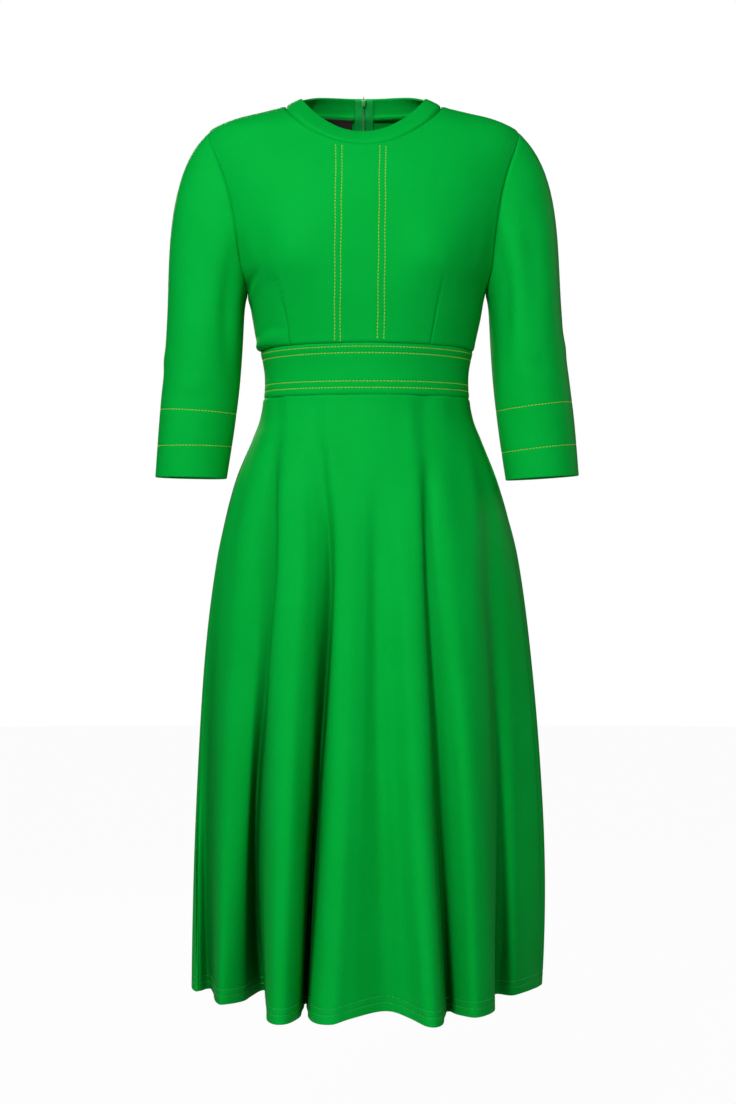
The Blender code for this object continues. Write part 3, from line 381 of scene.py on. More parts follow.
class DressColours(bpy.types.PropertyGroup):
    """Colours of the finishes."""

    knit: colour_property("Knit", "Colour of the double knit", (0.0012, 0.470, 0.054))
    knit_deep: colour_property("Knit, deep", "Colour between the loops", (0.0004, 0.360, 0.030))
    contrast: colour_property("Topstitching", "Colour of the contrast thread", (0.360, 0.780, 0.060))
    contrast_edge: colour_property("Topstitching, worn", "The thread's second colour", (0.500, 0.520, 0.030))
    self_thread: colour_property("Thread", "Colour of the hem's thread", (0.030, 0.620, 0.110))
    tape: colour_property("Zip tape", "Colour of the woven tape", (0.006, 0.560, 0.085))
    coil: colour_property("Zip coil", "Colour of the coil", (0.012, 0.380, 0.070))
    slider: colour_property("Slider", "Colour of the lacquered slider", (0.160, 0.720, 0.220))
    label: colour_property("Label", "Colour of the bare label", (0.016, 0.014, 0.010))
    floor: colour_property("Floor", "Colour of the studio floor", (0.50, 0.50, 0.495))


def sizes():
    return bpy.context.scene.dress_sizes


def colours():
    return bpy.context.scene.dress_colours


# ------------------------------------------------------------------ the form of the dress

def smooth_table(knots, values):
    """A curve through the values at the knots that never overshoots them."""
    order = np.argsort(knots)
    x = np.asarray(knots, float)[order]
    y = np.asarray(values, float)[order]
    step = np.diff(x)
    slope = np.diff(y) / step
    tangent = np.concatenate([slope[:1], np.zeros(len(x) - 2), slope[-1:]])
    product = slope[:-1] * slope[1:]
    total = np.where(product > 0, slope[:-1] + slope[1:], 1.0)
    tangent[1:-1] = np.where(product > 0, 2 * product / total, 0.0)

    def curve(at):
        at = np.clip(at, x[0], x[-1])
        i = np.clip(np.searchsorted(x, at) - 1, 0, len(x) - 2)
        s = (at - x[i]) / step[i]
        rise = (3 - 2 * s) * s * s
        start = s * (1 - s) ** 2 * step[i] * tangent[i]
        end = s * s * (1 - s) * step[i] * tangent[i + 1]
        return y[i] * (1 - rise) + y[i + 1] * rise + start - end

    return curve


def column_curve(rows, knot, value):
    return smooth_table([getattr(r, knot) for r in rows], [getattr(r, value) for r in rows])


HALF_WIDTH = column_curve(SECTIONS, "level", "half_width")
FRONT = column_curve(SECTIONS, "level", "front")
BACK = column_curve(SECTIONS, "level", "back")
SQUARE = column_curve(SECTIONS, "level", "square")


def soft_step(value):
    value = np.clip(value, 0.0, 1.0)
    return value * value * (3 - 2 * value)


def bell(value):
    return np.exp(-value ** 2)


def sine_cosine(degrees):
    turn = np.radians(degrees)
    return np.sin(turn), np.cos(turn)


def unit(vectors):
    return vectors / np.maximum(np.linalg.norm(vectors, axis=-1, keepdims=True), 1e-12)


def lean(level):
    return LEAN_X * soft_step((level - LEAN_BOTTOM) / (LEAN_TOP - LEAN_BOTTOM))


def seam_level(seam, angle):
    """Level of a seam around the body, from its front, side and back levels."""
    c = np.cos(np.radians(angle))
    end = np.where(c > 0, seam.front, seam.back)
    return seam.side + (end - seam.side) * c * c


def body_point(angle, level):
    """A point of the dress above the skirt, on the outer face of the cloth."""
    s, c = sine_cosine(angle)
    power = 2 / SQUARE(level)
    x = HALF_WIDTH(level) * np.sign(s) * np.abs(s) ** power
    depth = np.where(c > 0, FRONT(level), BACK(level))
    y = -depth * np.sign(c) * np.abs(c) ** power
    tall = np.where(level > CUP_LEVEL, CUP_ABOVE, CUP_BELOW)
    height = bell((level - CUP_LEVEL) / tall)
    across = bell((x - CUP_X) / CUP_WIDTH) + bell((x + CUP_X) / CUP_WIDTH)
    y = y - CUP_RISE * height * across * soft_step(CUP_FADE * c)
    return np.stack([x + lean(level), y, level + 0 * x], axis=-1)


def angle_at(x, level):
    """The angle, from the centre front, at which the form reaches a given half width."""
    share = np.clip(np.abs(x) / HALF_WIDTH(level), 0, 1)
    return np.degrees(np.arcsin(share ** (SQUARE(level) / 2)))


def neck_domain(turn):
    """Angle and level of the neck seam, turn degrees around the neck from the front."""
    c = np.maximum(np.cos(np.radians(turn)), 0)
    level = NECK_SIDE + (NECK_FRONT - NECK_SIDE) * c ** NECK_DIP
    angle = angle_at(NECK_HALF * np.sin(np.radians(turn)), level)
    return np.where(np.asarray(turn) > 90, 180 - angle, angle), level


def armhole_domain(share, bite, back):
    """Angle and level of the armhole seam, from the underarm (0) to the shoulder tip (1)."""
    middle = (UNDERARM + SHOULDER_TIP) / 2
    level = middle + (UNDERARM - middle) * np.cos(math.pi * share)
    taken = np.sin(math.pi * share) * (bite.low + (bite.high - bite.low) * share ** 2)
    return (90 + taken if back else 90 - taken), level


def bodice_edge(up, back):
    """Angle and level of a bodice panel's outer edge: side seam, armhole and shoulder seam."""
    waist = float(seam_level(WAIST_TOP, 90.0))
    side_level = waist + (UNDERARM - waist) * up / EDGE_UNDERARM
    share = np.clip((up - EDGE_UNDERARM) / (EDGE_TIP - EDGE_UNDERARM), 0, 1)
    arm_angle, arm_level = armhole_domain(share, BACK_BITE if back else FRONT_BITE, back)
    fine = np.linspace(SHOULDER_TIP, NECK_SIDE, SHOULDER_POINTS)
    wide = HALF_WIDTH(fine)
    along = np.clip((up - EDGE_TIP) / (1 - EDGE_TIP), 0, 1)
    shoulder_level = np.interp(-(wide[0] + (wide[-1] - wide[0]) * along), -wide, fine)
    level = np.where(up < EDGE_UNDERARM, side_level, np.where(up > EDGE_TIP, shoulder_level, arm_level))
    return np.where((up < EDGE_UNDERARM) | (up > EDGE_TIP), 90.0, arm_angle), level


def blended_domain(back, across, up):
    """Angles and levels of one half of the bodice, blended from its four edges alone."""
    middle = 180.0 if back else 0.0
    neck_angle, neck_level = neck_domain(180 - 90 * across if back else 90 * across)
    waist_angle = middle + (90 - middle) * across
    waist_level = seam_level(WAIST_TOP, waist_angle)
    edge_angle, edge_level = bodice_edge(up, back)
    middle_level = waist_level[0] + (neck_level[0] - waist_level[0]) * up
    v = up[:, None]

    def blend(left, right, bottom, top, w):
        straight = (1 - w) * left[:, None] + w * right[:, None]
        lower = bottom[None, :] - ((1 - w) * bottom[0] + w * bottom[-1])
        upper = top[None, :] - ((1 - w) * top[0] + w * top[-1])
        return straight + (1 - v) * lower + v * upper

    angle = blend(np.full(len(up), middle), edge_angle, waist_angle, neck_angle, across[None, :])
    sweep = (1 - (1 - across) ** ROW_SWEEP)[None, :]
    return angle, blend(middle_level, edge_level, waist_level, neck_level, sweep)


def relaxed(grid):
    """A coarse grid with its inner crossings evened out, so that no cell folds over."""
    even = grid.copy()
    for _ in range(RELAX_TURNS):
        around = even[:-2, 1:-1] + even[2:, 1:-1] + even[1:-1, :-2] + even[1:-1, 2:]
        even[1:-1, 1:-1] = around / 4
    return even


def bodice_domain(back, across, up):
    """Angles and levels of one half of the bodice, across from its middle and up from the waist."""
    rows = SIDE_ROWS + ARM_ROWS + SHOULDER_ROWS
    coarse_across, coarse_up = np.linspace(0, 1, COARSE_COLUMNS + 1), np.linspace(0, 1, rows + 1)
    u, v = across[None, :], up[:, None]
    grids = []
    for rough, exact in zip(blended_domain(back, coarse_across, coarse_up),
                            blended_domain(back, across, up)):
        down = np.array([smooth_table(coarse_up, column)(up) for column in relaxed(rough).T])
        grid = np.array([smooth_table(coarse_across, row)(across) for row in down.T])
        off = exact - grid
        inner, outer, low, high = ((1 - u) ** EDGE_HOLD, u ** EDGE_HOLD, (1 - v) ** EDGE_HOLD, v ** EDGE_HOLD)
        sides = inner * off[:, :1] + outer * off[:, -1:] + low * off[:1] + high * off[-1:]
        corners = low * (inner * off[0, 0] + outer * off[0, -1])
        corners = corners + high * (inner * off[-1, 0] + outer * off[-1, -1])
        grids.append(grid + sides - corners)
    return unfolded(*grids)


def unfolded(angle, level):
    """Evens out the grid around any cell that has folded over, until none is left."""
    for _ in range(UNFOLD_TURNS):
        points = body_point(angle, level)
        normals = np.cross(np.diff(points, axis=1)[:-1], np.diff(points, axis=0)[:, :-1])
        facing = np.sum(normals * body_normal(angle, level)[:-1, :-1], axis=-1)
        folded = facing * np.sign(np.median(facing)) <= 0
        if not folded.any():
            break
        near = np.zeros(angle.shape, bool)
        for i, j in np.argwhere(folded):
            rows, columns = (slice(max(k - UNFOLD_REACH, 1), k + UNFOLD_REACH + 2) for k in (i, j))
            near[rows, columns] = True
        near[[0, -1]] = False
        near[:, [0, -1]] = False
        for grid in (angle, level):
            around = grid.copy()
            around[1:-1, 1:-1] = (grid[:-2, 1:-1] + grid[2:, 1:-1] + grid[1:-1, :-2] + grid[1:-1, 2:]) / 4
            grid[near] = around[near]
    return angle, level


def band_point(turn, share):
    """A point of the neckband's outer face, from its seam (0) to its top edge (1)."""
    angle, level = neck_domain(np.abs(turn))
    low = body_point(np.sign(turn) * angle, level)
    s, c = sine_cosine(turn)
    y = np.where(c > 0, BAND_FRONT_Y, -BAND_BACK_Y) * c
    front = BAND_TOP.side + (BAND_TOP.front - BAND_TOP.side) * np.maximum(c, 0) ** NECK_DIP
    back = BAND_TOP.back + (BAND_TOP.side - BAND_TOP.back) * np.abs(s) ** BAND_BACK_RISE
    top = np.stack([LEAN_X + BAND_HALF * s, y, np.where(c > 0, front, back)], axis=-1)
    share = np.asarray(share)[..., None]
    out = np.stack([s, -c, 0 * s], axis=-1) * BAND_ROUND * np.sin(math.pi * share)
    return low * (1 - share) + top * share + out


def body_normal(angle, level):
    along = body_point(angle + TURN_STEP, level) - body_point(angle - TURN_STEP, level)
    up = body_point(angle, level + SLOPE_STEP) - body_point(angle, level - SLOPE_STEP)
    return unit(np.cross(along, up))


def armhole_at(side, turn):
    """The armhole seam and the bodice's normals along it; turn runs from the underarm, front first."""
    turn = turn % 360
    behind = turn > 180
    share = np.where(behind, (360 - turn) / 180, turn / 180)
    front_angle, level = armhole_domain(share, FRONT_BITE, False)
    back_angle, _ = armhole_domain(share, BACK_BITE, True)
    angle = np.where(behind, back_angle, front_angle) * side
    return body_point(angle, level), body_normal(angle, level)


def sleeve_ring(side, turn, level):
    """The sleeve below the armhole: turn is 0 next to the body, 90 in front, 180 outside."""
    name = "outer_right" if side > 0 else "outer_left"
    inner, outer = (column_curve(SLEEVE_RINGS, "level", n)(level) for n in ("inner", name))
    front, back = (column_curve(SLEEVE_RINGS, "level", n)(level) for n in ("front", "back"))
    s, c = sine_cosine(turn)
    x = (inner + outer) / 2 - (outer - inner) / 2 * c
    y = (front + back) / 2 - (back - front) / 2 * s
    top, bottom = SLEEVE_RINGS[0].level, SLEEVE_RINGS[-1].level
    tilt = CUFF_TILT["right" if side > 0 else "left"] * (top - level) / (top - bottom)
    return np.stack([side * x, y, level - tilt * c], axis=-1)


def sleeve_points(side, turn, cap_shares, tube_levels):
    """Outer points of a sleeve ring by ring, from the armhole down, and the seam's own off side."""
    seam, seam_normal = armhole_at(side, turn)
    around = armhole_at(side, turn + TURN_STEP)[0] - armhole_at(side, turn - TURN_STEP)[0]
    off = unit(np.cross(around, seam_normal)) * side
    s, c = sine_cosine(turn)
    out = CAP_OUT_UNDERARM + (CAP_OUT_TIP - CAP_OUT_UNDERARM) * (1 - c) / 2
    forward = -CAP_FORWARD * s
    leave = np.stack([side * out, forward, -np.sqrt(1 - out ** 2 - forward ** 2)], axis=-1)
    start = seam + CAP_GAP * unit(off + leave)
    top = SLEEVE_RINGS[0].level
    end = sleeve_ring(side, turn, top + 0 * turn)
    arrive = unit(sleeve_ring(side, turn, top - ARRIVE_STEP + 0 * turn) - end)
    reach = np.linalg.norm(end - start, axis=-1, keepdims=True)
    s = cap_shares[:, None, None]
    rise = (3 - 2 * s) * s * s
    cap = start * (1 - rise) + end * rise
    cap = cap + s * (1 - s) ** 2 * reach * leave - s * s * (1 - s) * reach * arrive
    tube = sleeve_ring(side, turn[None, :], tube_levels[:, None] + 0 * turn[None, :])
    return np.concatenate([cap, tube]), off


def crossing_angles(name):
    """Angles of all fold points at the waist or the hips, from the crests' own angles."""
    crest = np.unwrap([getattr(fold, name) for fold in FOLDS], period=360)
    following = np.append(crest[1:], crest[0] + 360)
    before = np.append(crest[-1] - 360, crest[:-1])
    flank_in = crest - FOLD_SHARE * (crest - before)
    flank_out = crest + FOLD_SHARE * (following - crest)
    return np.stack([flank_in, crest, flank_out, (crest + following) / 2], axis=-1).ravel()


WAIST_ANGLES = crossing_angles("waist")
HIP_ANGLES = crossing_angles("hip")
HEM_X = np.array([(f.in_x, f.x, f.out_x, f.valley_x) for f in FOLDS]).ravel()
HEM_Y = np.array([(f.in_y, f.y, f.out_y, f.valley_y) for f in FOLDS]).ravel()
FOLD_STARTS = np.repeat([fold.start for fold in FOLDS], 4)
HEM_SIDE = HEM_X / HALF_WIDTH(HEM_LEVEL)
HEM_FRONT = -HEM_Y / np.where(HEM_Y < 0, FRONT(HEM_LEVEL), BACK(HEM_LEVEL))
HEM_REACH = np.hypot(HEM_SIDE, HEM_FRONT)
HEM_TURN = np.degrees(np.arctan2(HEM_SIDE, HEM_FRONT))
HEM_ANGLES = HIP_ANGLES + (HEM_TURN - HIP_ANGLES + 180) % 360 - 180
WAIST_RING = np.append(WAIST_ANGLES, WAIST_ANGLES[0] + 360)


def fold_points(level):
    """The skirt's plan at each level: the points of every fold, in order."""
    level = np.asarray(level)[..., None]
    above = np.clip((level - HIP_LEVEL) / (WAIST_BOTTOM.side - HIP_LEVEL), 0, None) ** TURN_ABOVE_HIPS
    below = np.clip((level - HIP_LEVEL) / (HEM_LEVEL - HIP_LEVEL), 0, None) ** TURN_BELOW_HIPS
    angle = HIP_ANGLES + (WAIST_ANGLES - HIP_ANGLES) * above + (HEM_ANGLES - HIP_ANGLES) * below
    grown = np.clip((FOLD_STARTS - level) / (FOLD_STARTS - HEM_LEVEL), 0, 1) ** FOLD_GROWTH
    reach = 1 + (HEM_REACH - 1) * grown
    s, c = (part * reach for part in sine_cosine(angle))
    y = -np.where(c > 0, FRONT(level), BACK(level)) * c
    return np.stack([HALF_WIDTH(level) * s, y, level + 0 * s], axis=-1)


def skirt_points(place, level):
    """Points of the skirt: place counts fold points round the closed plan curve."""
    place, level = np.broadcast_arrays(place, level)
    plan = fold_points(level)
    count = plan.shape[-2]
    i = np.floor(place).astype(int)
    s = (place - i)[..., None]

    def knot(k):
        return np.take_along_axis(plan, ((i + k) % count)[..., None, None], axis=-2)[..., 0, :]

    before, here, after, beyond = (knot(k) for k in (-1, 0, 1, 2))
    pull = 2 * here + (after - before) * s + (2 * before - 5 * here + 4 * after - beyond) * s * s
    return (pull + (3 * here - before - 3 * after + beyond) * s ** 3) / 2


def waist_angle(place):
    turns, part = np.divmod(place, len(WAIST_ANGLES))
    return np.interp(part, np.arange(len(WAIST_RING)), WAIST_RING) + 360 * turns


def turned_up(depth, from_edge):
    """Thickness of cloth that is doubled from its edge up to a depth."""
    size = sizes()
    return size.cloth + (size.hem_cloth - size.cloth) * soft_step((depth - from_edge) / TURN_UP_STEP)


def hem_level(place):
    return HEM_LEVEL + HEM_RISE * bell((place - RISE_PLACE) / RISE_SPREAD)


def place_at(angle):
    """Where on the plan curve the waist angle is reached."""
    wanted = WAIST_ANGLES[0] + (angle - WAIST_ANGLES[0]) % 360
    return float(np.interp(wanted, WAIST_RING, np.arange(len(WAIST_RING))))


# ------------------------------------------------------------------ cloth grids and relief

def graded(length, coarse, zones=()):
    """Distances from 0 to length in coarse steps, with finer steps inside the zones."""
    at = np.linspace(0, length, GRADE_POINTS)
    density = np.full_like(at, 1 / coarse)
    for zone in zones:
        inside = [soft_step(gap / zone.step / 4 + 1) for gap in (at - zone.start, zone.end - at)]
        density = np.maximum(density, inside[0] * inside[1] / zone.step)
    total = np.concatenate([[0], np.cumsum((density[1:] + density[:-1]) / 2 * np.diff(at))])
    return np.interp(np.linspace(0, total[-1], math.ceil(total[-1]) + 1), total, at)


def grid_normals(points, closed, towards):
    """Normals of a grid of points, facing the same way as the reference normals on the whole."""
    if closed:
        across = np.roll(points, -1, axis=1) - np.roll(points, 1, axis=1)
    else:
        across = np.gradient(points, axis=1)
    normals = unit(np.cross(across, np.gradient(points, axis=0)))
    return normals if np.sum(normals * towards) > 0 else -normals


def run_lengths(points, axis, closed=False):
    """Distance along each grid line from its first point."""
    if closed:
        points = np.concatenate([points, points[:, :1]], axis=1)
    steps = np.linalg.norm(np.diff(points, axis=axis), axis=-1)
    return np.insert(np.cumsum(steps, axis=axis), 0, 0, axis=axis)


def seam_relief(distance, strength=1.0):
    """The dip of a seam, and the slight rise over the turnings beside it."""
    size = sizes()
    dip = bell(distance / size.seam_width) * size.seam_depth
    fade = ALLOWANCE_FADE * size.allowance
    rise = size.allowance_rise * soft_step((size.allowance - distance) / fade)
    return (rise - dip) * strength


def row_relief(distance):
    """The dip along a row of stitches."""
    size = sizes()
    return -size.stitch_dip * bell(distance / (ROW_SPREAD * size.thread))


def slow_waves(points, seed, tall=1.0):
    """Slow uneven waves over the cloth, longer down the cloth than across it."""
    rng = np.random.default_rng(seed)
    relief = np.zeros(points.shape[:-1])
    for _ in range(WAVES):
        turn = rng.uniform(0, 2 * math.pi)
        wave = rng.uniform(*WAVE_LENGTHS)
        heading = np.array([math.cos(turn), math.sin(turn), rng.uniform(-WAVE_SLANT, WAVE_SLANT) / tall])
        relief += np.sin(points @ heading * (2 * math.pi / wave) + rng.uniform(0, 2 * math.pi))
    return relief * sizes().unevenness / WAVES_TOGETHER


FACES = {"front": (0, 1, -1), "back": (0, 1, 1), "left": (1, 0, -1), "right": (1, 0, 1)}


def line_on(points, normals, face, knots):
    """A smooth line over the cloth through three points given as seen from one side."""
    across, depth, sign = FACES[face]
    flat = points.reshape(-1, 3)
    seen = flat[normals.reshape(-1, 3)[:, depth] * sign > LEAST_FACING]
    spots = [seen[((seen[:, across] - a) ** 2 + (seen[:, 2] - z) ** 2).argmin()] for a, z in knots]
    t = np.linspace(0, 1, LINE_POINTS)[:, None]
    bend = 2 * spots[1] - (spots[0] + spots[2]) / 2
    return (1 - t) ** 2 * spots[0] + 2 * t * (1 - t) * bend + t * t * spots[2]


def from_line(points, normals, line):
    """Signed distance across a line on the cloth, and the share along it, for every point."""
    flat = points.reshape(-1, 3)
    near = np.argmin([np.sum((flat - p) ** 2, axis=-1) for p in line], axis=0)
    heading = unit(np.gradient(line, axis=0))[near]
    away = flat - line[near]
    ahead = np.sum(away * heading, axis=-1)
    side = np.sum(np.cross(normals.reshape(-1, 3), heading) * away, axis=-1)
    beside = away - ahead[:, None] * heading
    distance = np.linalg.norm(beside, axis=-1) * np.where(side < 0, -1, 1)
    share = near / (len(line) - 1) + ahead / np.sum(np.linalg.norm(np.diff(line, axis=0), axis=-1))
    shape = points.shape[:-1]
    return distance.reshape(shape), share.reshape(shape)


def crease_relief(piece, points, normals):
    relief = np.zeros(points.shape[:-1])
    creases = [(face, c) for (owner, face), rows in CREASES.items() if owner == piece for c in rows]
    for face, c in creases:
        line = line_on(points, normals, face, ((c.a0, c.z0), (c.a1, c.z1), (c.a2, c.z2)))
        distance, share = from_line(points, normals, line)
        strength = np.clip(np.sin(math.pi * (c.start + (c.end - c.start) * np.clip(share, 0, 1))), 0, 1)
        ridge = bell(distance / c.width)
        trough = bell((distance - TROUGH_PLACE * c.width) / (TROUGH_SPREAD * c.width))
        relief += c.height * (ridge - c.trough * trough) * strength
    return relief


def dart_relief(piece, points, normals):
    """The relief of a panel's darts, and the painted shade along their sunk seams."""
    size = sizes()
    relief = np.zeros(points.shape[:-1])
    shade = relief.copy()
    for d in (d for d in DARTS if d.piece == piece):
        line = line_on(points, normals, d.face, ((d.a0, d.z0), (d.a1, d.z1), (d.a2, d.z2)))
        distance, share = from_line(points, normals, line)
        strength = soft_step(share / DART_TAPER) * (share < DART_END)
        dip = bell(distance / (DART_WIDTH * size.seam_width))
        fullness = bell(distance / FULL_WIDTH) * FULL_RISE * bell((share - FULL_PLACE) / FULL_SPREAD)
        relief += d.depth * (fullness * (share > FULL_START) - dip * strength)
        # painted shade along the dart's seam, standing in for the shadow in its dip
        shade += DART_SHADE * strength * dip
    return relief, shade


def wall_mesh(name, points, normals, thickness, closed=False, round_low=0, round_high=0, hollow=None):
    """A wall of cloth: outer grid, inner grid and rims, with a UV map in metres.

    Each column is one closed loop of points: up the outside, over the top, down the inside and
    back round the bottom. round_low and round_high are the facets of a rounded edge.
    """
    thick = np.broadcast_to(thickness, points.shape[:-1])[..., None]
    inner = points - normals * thick

    def rim(row, following, facets):
        """Points round an edge, from the outer face to the inner one."""
        middle = (points[row] + inner[row]) / 2
        ahead = unit(points[row] - points[following])
        turn = [math.pi * (k + 1) / facets for k in range(facets - 1)]
        return [middle + (points[row] - middle) * math.cos(t) + ahead * thick[row] / 2 * math.sin(t)
                for t in turn]

    high = rim(-1, -2, round_high)
    low = rim(0, 1, round_low)[::-1]
    profile = np.array([*points, *high, *inner[::-1], *low])
    count, columns = profile.shape[:2]
    rows = len(points)
    up = run_lengths(points, 0)
    up_full = np.array([*up, *[up[-1]] * len(high), *up[::-1], *[up[0]] * len(low)])
    middle = columns // 2
    across = run_lengths(points, 1, closed)
    across = across - across[:, middle:middle + 1]
    across_full = np.array([*across, *[across[-1]] * len(high), *across[::-1], *[across[0]] * len(low)])
    if closed:
        up_full = np.concatenate([up_full, up_full[:, :1]], axis=1)

    span = columns if closed else columns - 1
    i, j = (k.ravel() for k in np.meshgrid(np.arange(count), np.arange(span), indexing="ij"))
    following = (i + 1) % count
    beside = (j + 1) % columns
    faces = np.stack([i * columns + j, i * columns + beside, following * columns + beside,
                      following * columns + j], axis=-1)
    corners = np.stack([np.stack([i, j], -1), np.stack([i, j + 1], -1),
                        np.stack([following, j + 1], -1), np.stack([following, j], -1)], axis=1)
    polygons = faces.tolist()
    uv_at = [corners.reshape(-1, 2)]
    if not closed:
        top_inner, bottom_inner = rows + len(high), 2 * rows + len(high) - 1
        for j in (0, columns - 1):
            rings = [[k, k + 1, bottom_inner - k - 1, bottom_inner - k] for k in range(rows - 1)]
            if high:
                rings.append(list(range(rows - 1, top_inner + 1)))
            if low:
                rings.append([*range(bottom_inner, count), 0])
            for ring in rings:
                ring = ring if j else ring[::-1]
                polygons.append([k * columns + j for k in ring])
                uv_at.append(np.array([(k, j) for k in ring]))
    mesh = bpy.data.meshes.new(name)
    mesh.from_pydata(profile.reshape(-1, 3), [], polygons)
    uv_at = np.concatenate(uv_at)
    layer = mesh.uv_layers.new(name="cloth")
    spots = np.stack([across_full[uv_at[:, 0], uv_at[:, 1]], up_full[uv_at[:, 0], uv_at[:, 1]]], -1)
    layer.data.foreach_set("uv", spots.astype(np.float32).ravel())
    # painted shade, kept as a point attribute that darkens the knit's colour
    if hollow is not None:
        shade = np.array([*hollow, *[hollow[-1]] * len(high), *hollow[::-1], *[hollow[0]] * len(low)])
        mesh.attributes.new("hollow", "FLOAT", "POINT").data.foreach_set("value", shade.ravel())
    mesh.update()
    first = mesh.polygons[(rows // 2) * span + span // 2]
    if first.normal.dot(Vector(normals[rows // 2, span // 2])) < 0:
        mesh.flip_normals()
    return mesh


def link(name, mesh, material):
    """Puts a finished mesh in the scene, riding on the dress."""
    mesh.shade_smooth()
    mesh.materials.append(material)
    item = bpy.data.objects.new(name, mesh)
    bpy.context.scene.collection.objects.link(item)
    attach(item, BODY)
    return item


Cut = namedtuple("Cut", "width length area held rests_on")


def finish_panel(node, mesh):
    """Links a panel in place of the solid that it stands for, which it hides."""
    panel = link("cloth_" + node, mesh, knit_material())
    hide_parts(node)


def raised(points, normals, relief, closed=False):
    """The grid moved out by its relief, with the new normals."""
    moved = points + normals * relief[..., None]
    return moved, grid_normals(moved, closed, normals)


def turned(points, normals, thickness, edges, hold=1.0):
    """A grid with turnings added beyond some edges: they lie behind the neighbouring pieces.

    hold fades a turning out along an edge where the neighbour brings its own.
    """
    thickness = np.broadcast_to(thickness, points.shape[:2]).copy()
    hold = np.maximum(np.asarray(hold)[..., None], LEAST_HOLD)
    for edge in edges:
        axis = 0 if edge in ("low", "high") else 1
        first = edge in ("low", "left")
        rim, inside = (points.take(k if first else -1 - k, axis) for k in (0, 1))
        facing = normals.take(0 if first else -1, axis)
        away = unit(rim - inside) * TUCK_WIDTH * hold
        behind = rim - facing * (sizes().cloth + TUCK_CLEAR) * hold
        lines = [behind + away, behind + TUCK_START * away][::1 if first else -1]
        thin = np.broadcast_to(TUCK_CLOTH * hold[..., 0], rim.shape[:1])
        added = (np.stack(lines, axis), np.stack([facing] * 2, axis), np.stack([thin] * 2, axis))
        grids = (points, normals, thickness)
        points, normals, thickness = (
            np.concatenate([new, grid] if first else [grid, new], axis) for new, grid in zip(added, grids))
    return points, normals, thickness


def tucked(points, normals, thickness, seam_normals, away):
    """A grid with a thin turning below its first row, behind the cloth that it is sewn to."""
    rim = points[0] - seam_normals * (sizes().cloth + TUCK_CLEAR)
    turning = [rim + away * TUCK_WIDTH, rim + away * TUCK_WIDTH * TUCK_START]
    thin = np.full((2, points.shape[1]), TUCK_CLOTH)
    return (np.concatenate([turning, points]), np.concatenate([[seam_normals] * 2, normals]),
            np.concatenate([thin, thickness]))


def trim(points, left=0.0, right=0.0, low=0.0, high=0.0):
    """Moves a panel's edges back from its seams, each by its own distance."""
    cut = points.copy()
    cut[:, 0] += unit(points[:, 1] - points[:, 0]) * left
    cut[:, -1] += unit(points[:, -2] - points[:, -1]) * right
    cut[0] += unit(points[1] - points[0]) * low
    cut[-1] += unit(points[-2] - points[-1]) * high
    return cut


# ------------------------------------------------------------------ small repeated shapes

CAPSULE_SHARES = np.array([0.0, 0.10, 0.35, 0.65, 0.90, 1.0])
CAPSULE_GIRTH = np.array([0.25, 0.80, 1.0, 1.0, 0.80, 0.25])
CAPSULE_SIDES = 6
STITCH_HEIGHT, STITCH_ARCH, STITCH_SINK = 0.75, 0.45, 0.10     # shares of a stitch's half width


def capsules(name, starts, ends, normals, half_width, half_height, arch, sink):
    """Many small rounded bars joined in one mesh: stitches, or the turns of a zip's coil."""
    shares, girth = CAPSULE_SHARES, CAPSULE_GIRTH
    around = np.radians(np.arange(CAPSULE_SIDES) * 360.0 / CAPSULE_SIDES)
    along = unit(ends - starts)
    side = unit(np.cross(normals, along))
    centre = starts[:, None] + (ends - starts)[:, None] * shares[None, :, None]
    lift = (arch * np.sin(math.pi * shares) - sink)[None, :, None]
    centre = centre + normals[:, None] * lift
    ring = (side[:, None, None] * (np.cos(around) * half_width)[None, None, :, None]
            + normals[:, None, None] * (np.sin(around) * half_height)[None, None, :, None])
    points = centre[:, :, None] + ring * girth[None, :, None, None]
    count = len(starts)
    per = points.shape[1] * points.shape[2]
    k, r = np.meshgrid(np.arange(len(shares) - 1), np.arange(CAPSULE_SIDES), indexing="ij")
    r = r.ravel()
    k = k.ravel() * CAPSULE_SIDES
    n = (r + 1) % CAPSULE_SIDES
    quads = np.stack([k + r, k + n, k + CAPSULE_SIDES + n, k + CAPSULE_SIDES + r], axis=-1)
    sides = (quads[None] + np.arange(count)[:, None, None] * per).reshape(-1, 4).tolist()
    caps = []
    for item in range(count):
        caps.append([item * per + q for q in reversed(range(CAPSULE_SIDES))])
        caps.append([(item + 1) * per - CAPSULE_SIDES + q for q in range(CAPSULE_SIDES)])
    mesh = bpy.data.meshes.new(name)
    mesh.from_pydata(points.reshape(-1, 3), [], sides + caps)
    layer = mesh.uv_layers.new(name="thread")
    loops = np.zeros(len(mesh.loops), dtype=int)
    mesh.loops.foreach_get("vertex_index", loops)
    ring_of = (loops % per) // CAPSULE_SIDES
    spot = np.stack([shares[ring_of] + loops // per, (loops % CAPSULE_SIDES) / CAPSULE_SIDES], axis=-1)
    layer.data.foreach_set("uv", spot.astype(np.float32).ravel())
    mesh.update()
    if mesh.polygons[2].normal.dot(mesh.polygons[2].center - Vector(centre[0].mean(axis=0))) < 0:
        mesh.flip_normals()
    return mesh


def cloth_tree(*nodes):
    """A search tree over the faces of some finished cloth pieces."""
    points, faces = [], []
    for node in nodes:
        mesh = bpy.data.objects["cloth_" + node].data
        base = len(points)
        points.extend(v.co.copy() for v in mesh.vertices)
        faces.extend([base + k for k in p.vertices] for p in mesh.polygons)
    return BVHTree.FromPolygons(points, faces)


def lay_on(tree, points, normals):
    """Points moved along their normals onto the cloth."""
    spots = []
    for point, normal in zip(points, normals):
        hit = tree.ray_cast(Vector(point + normal * LAY_REACH), Vector(-normal), 2 * LAY_REACH)[0]
        spots.append(np.array(hit) if hit else point)
    return np.array(spots)


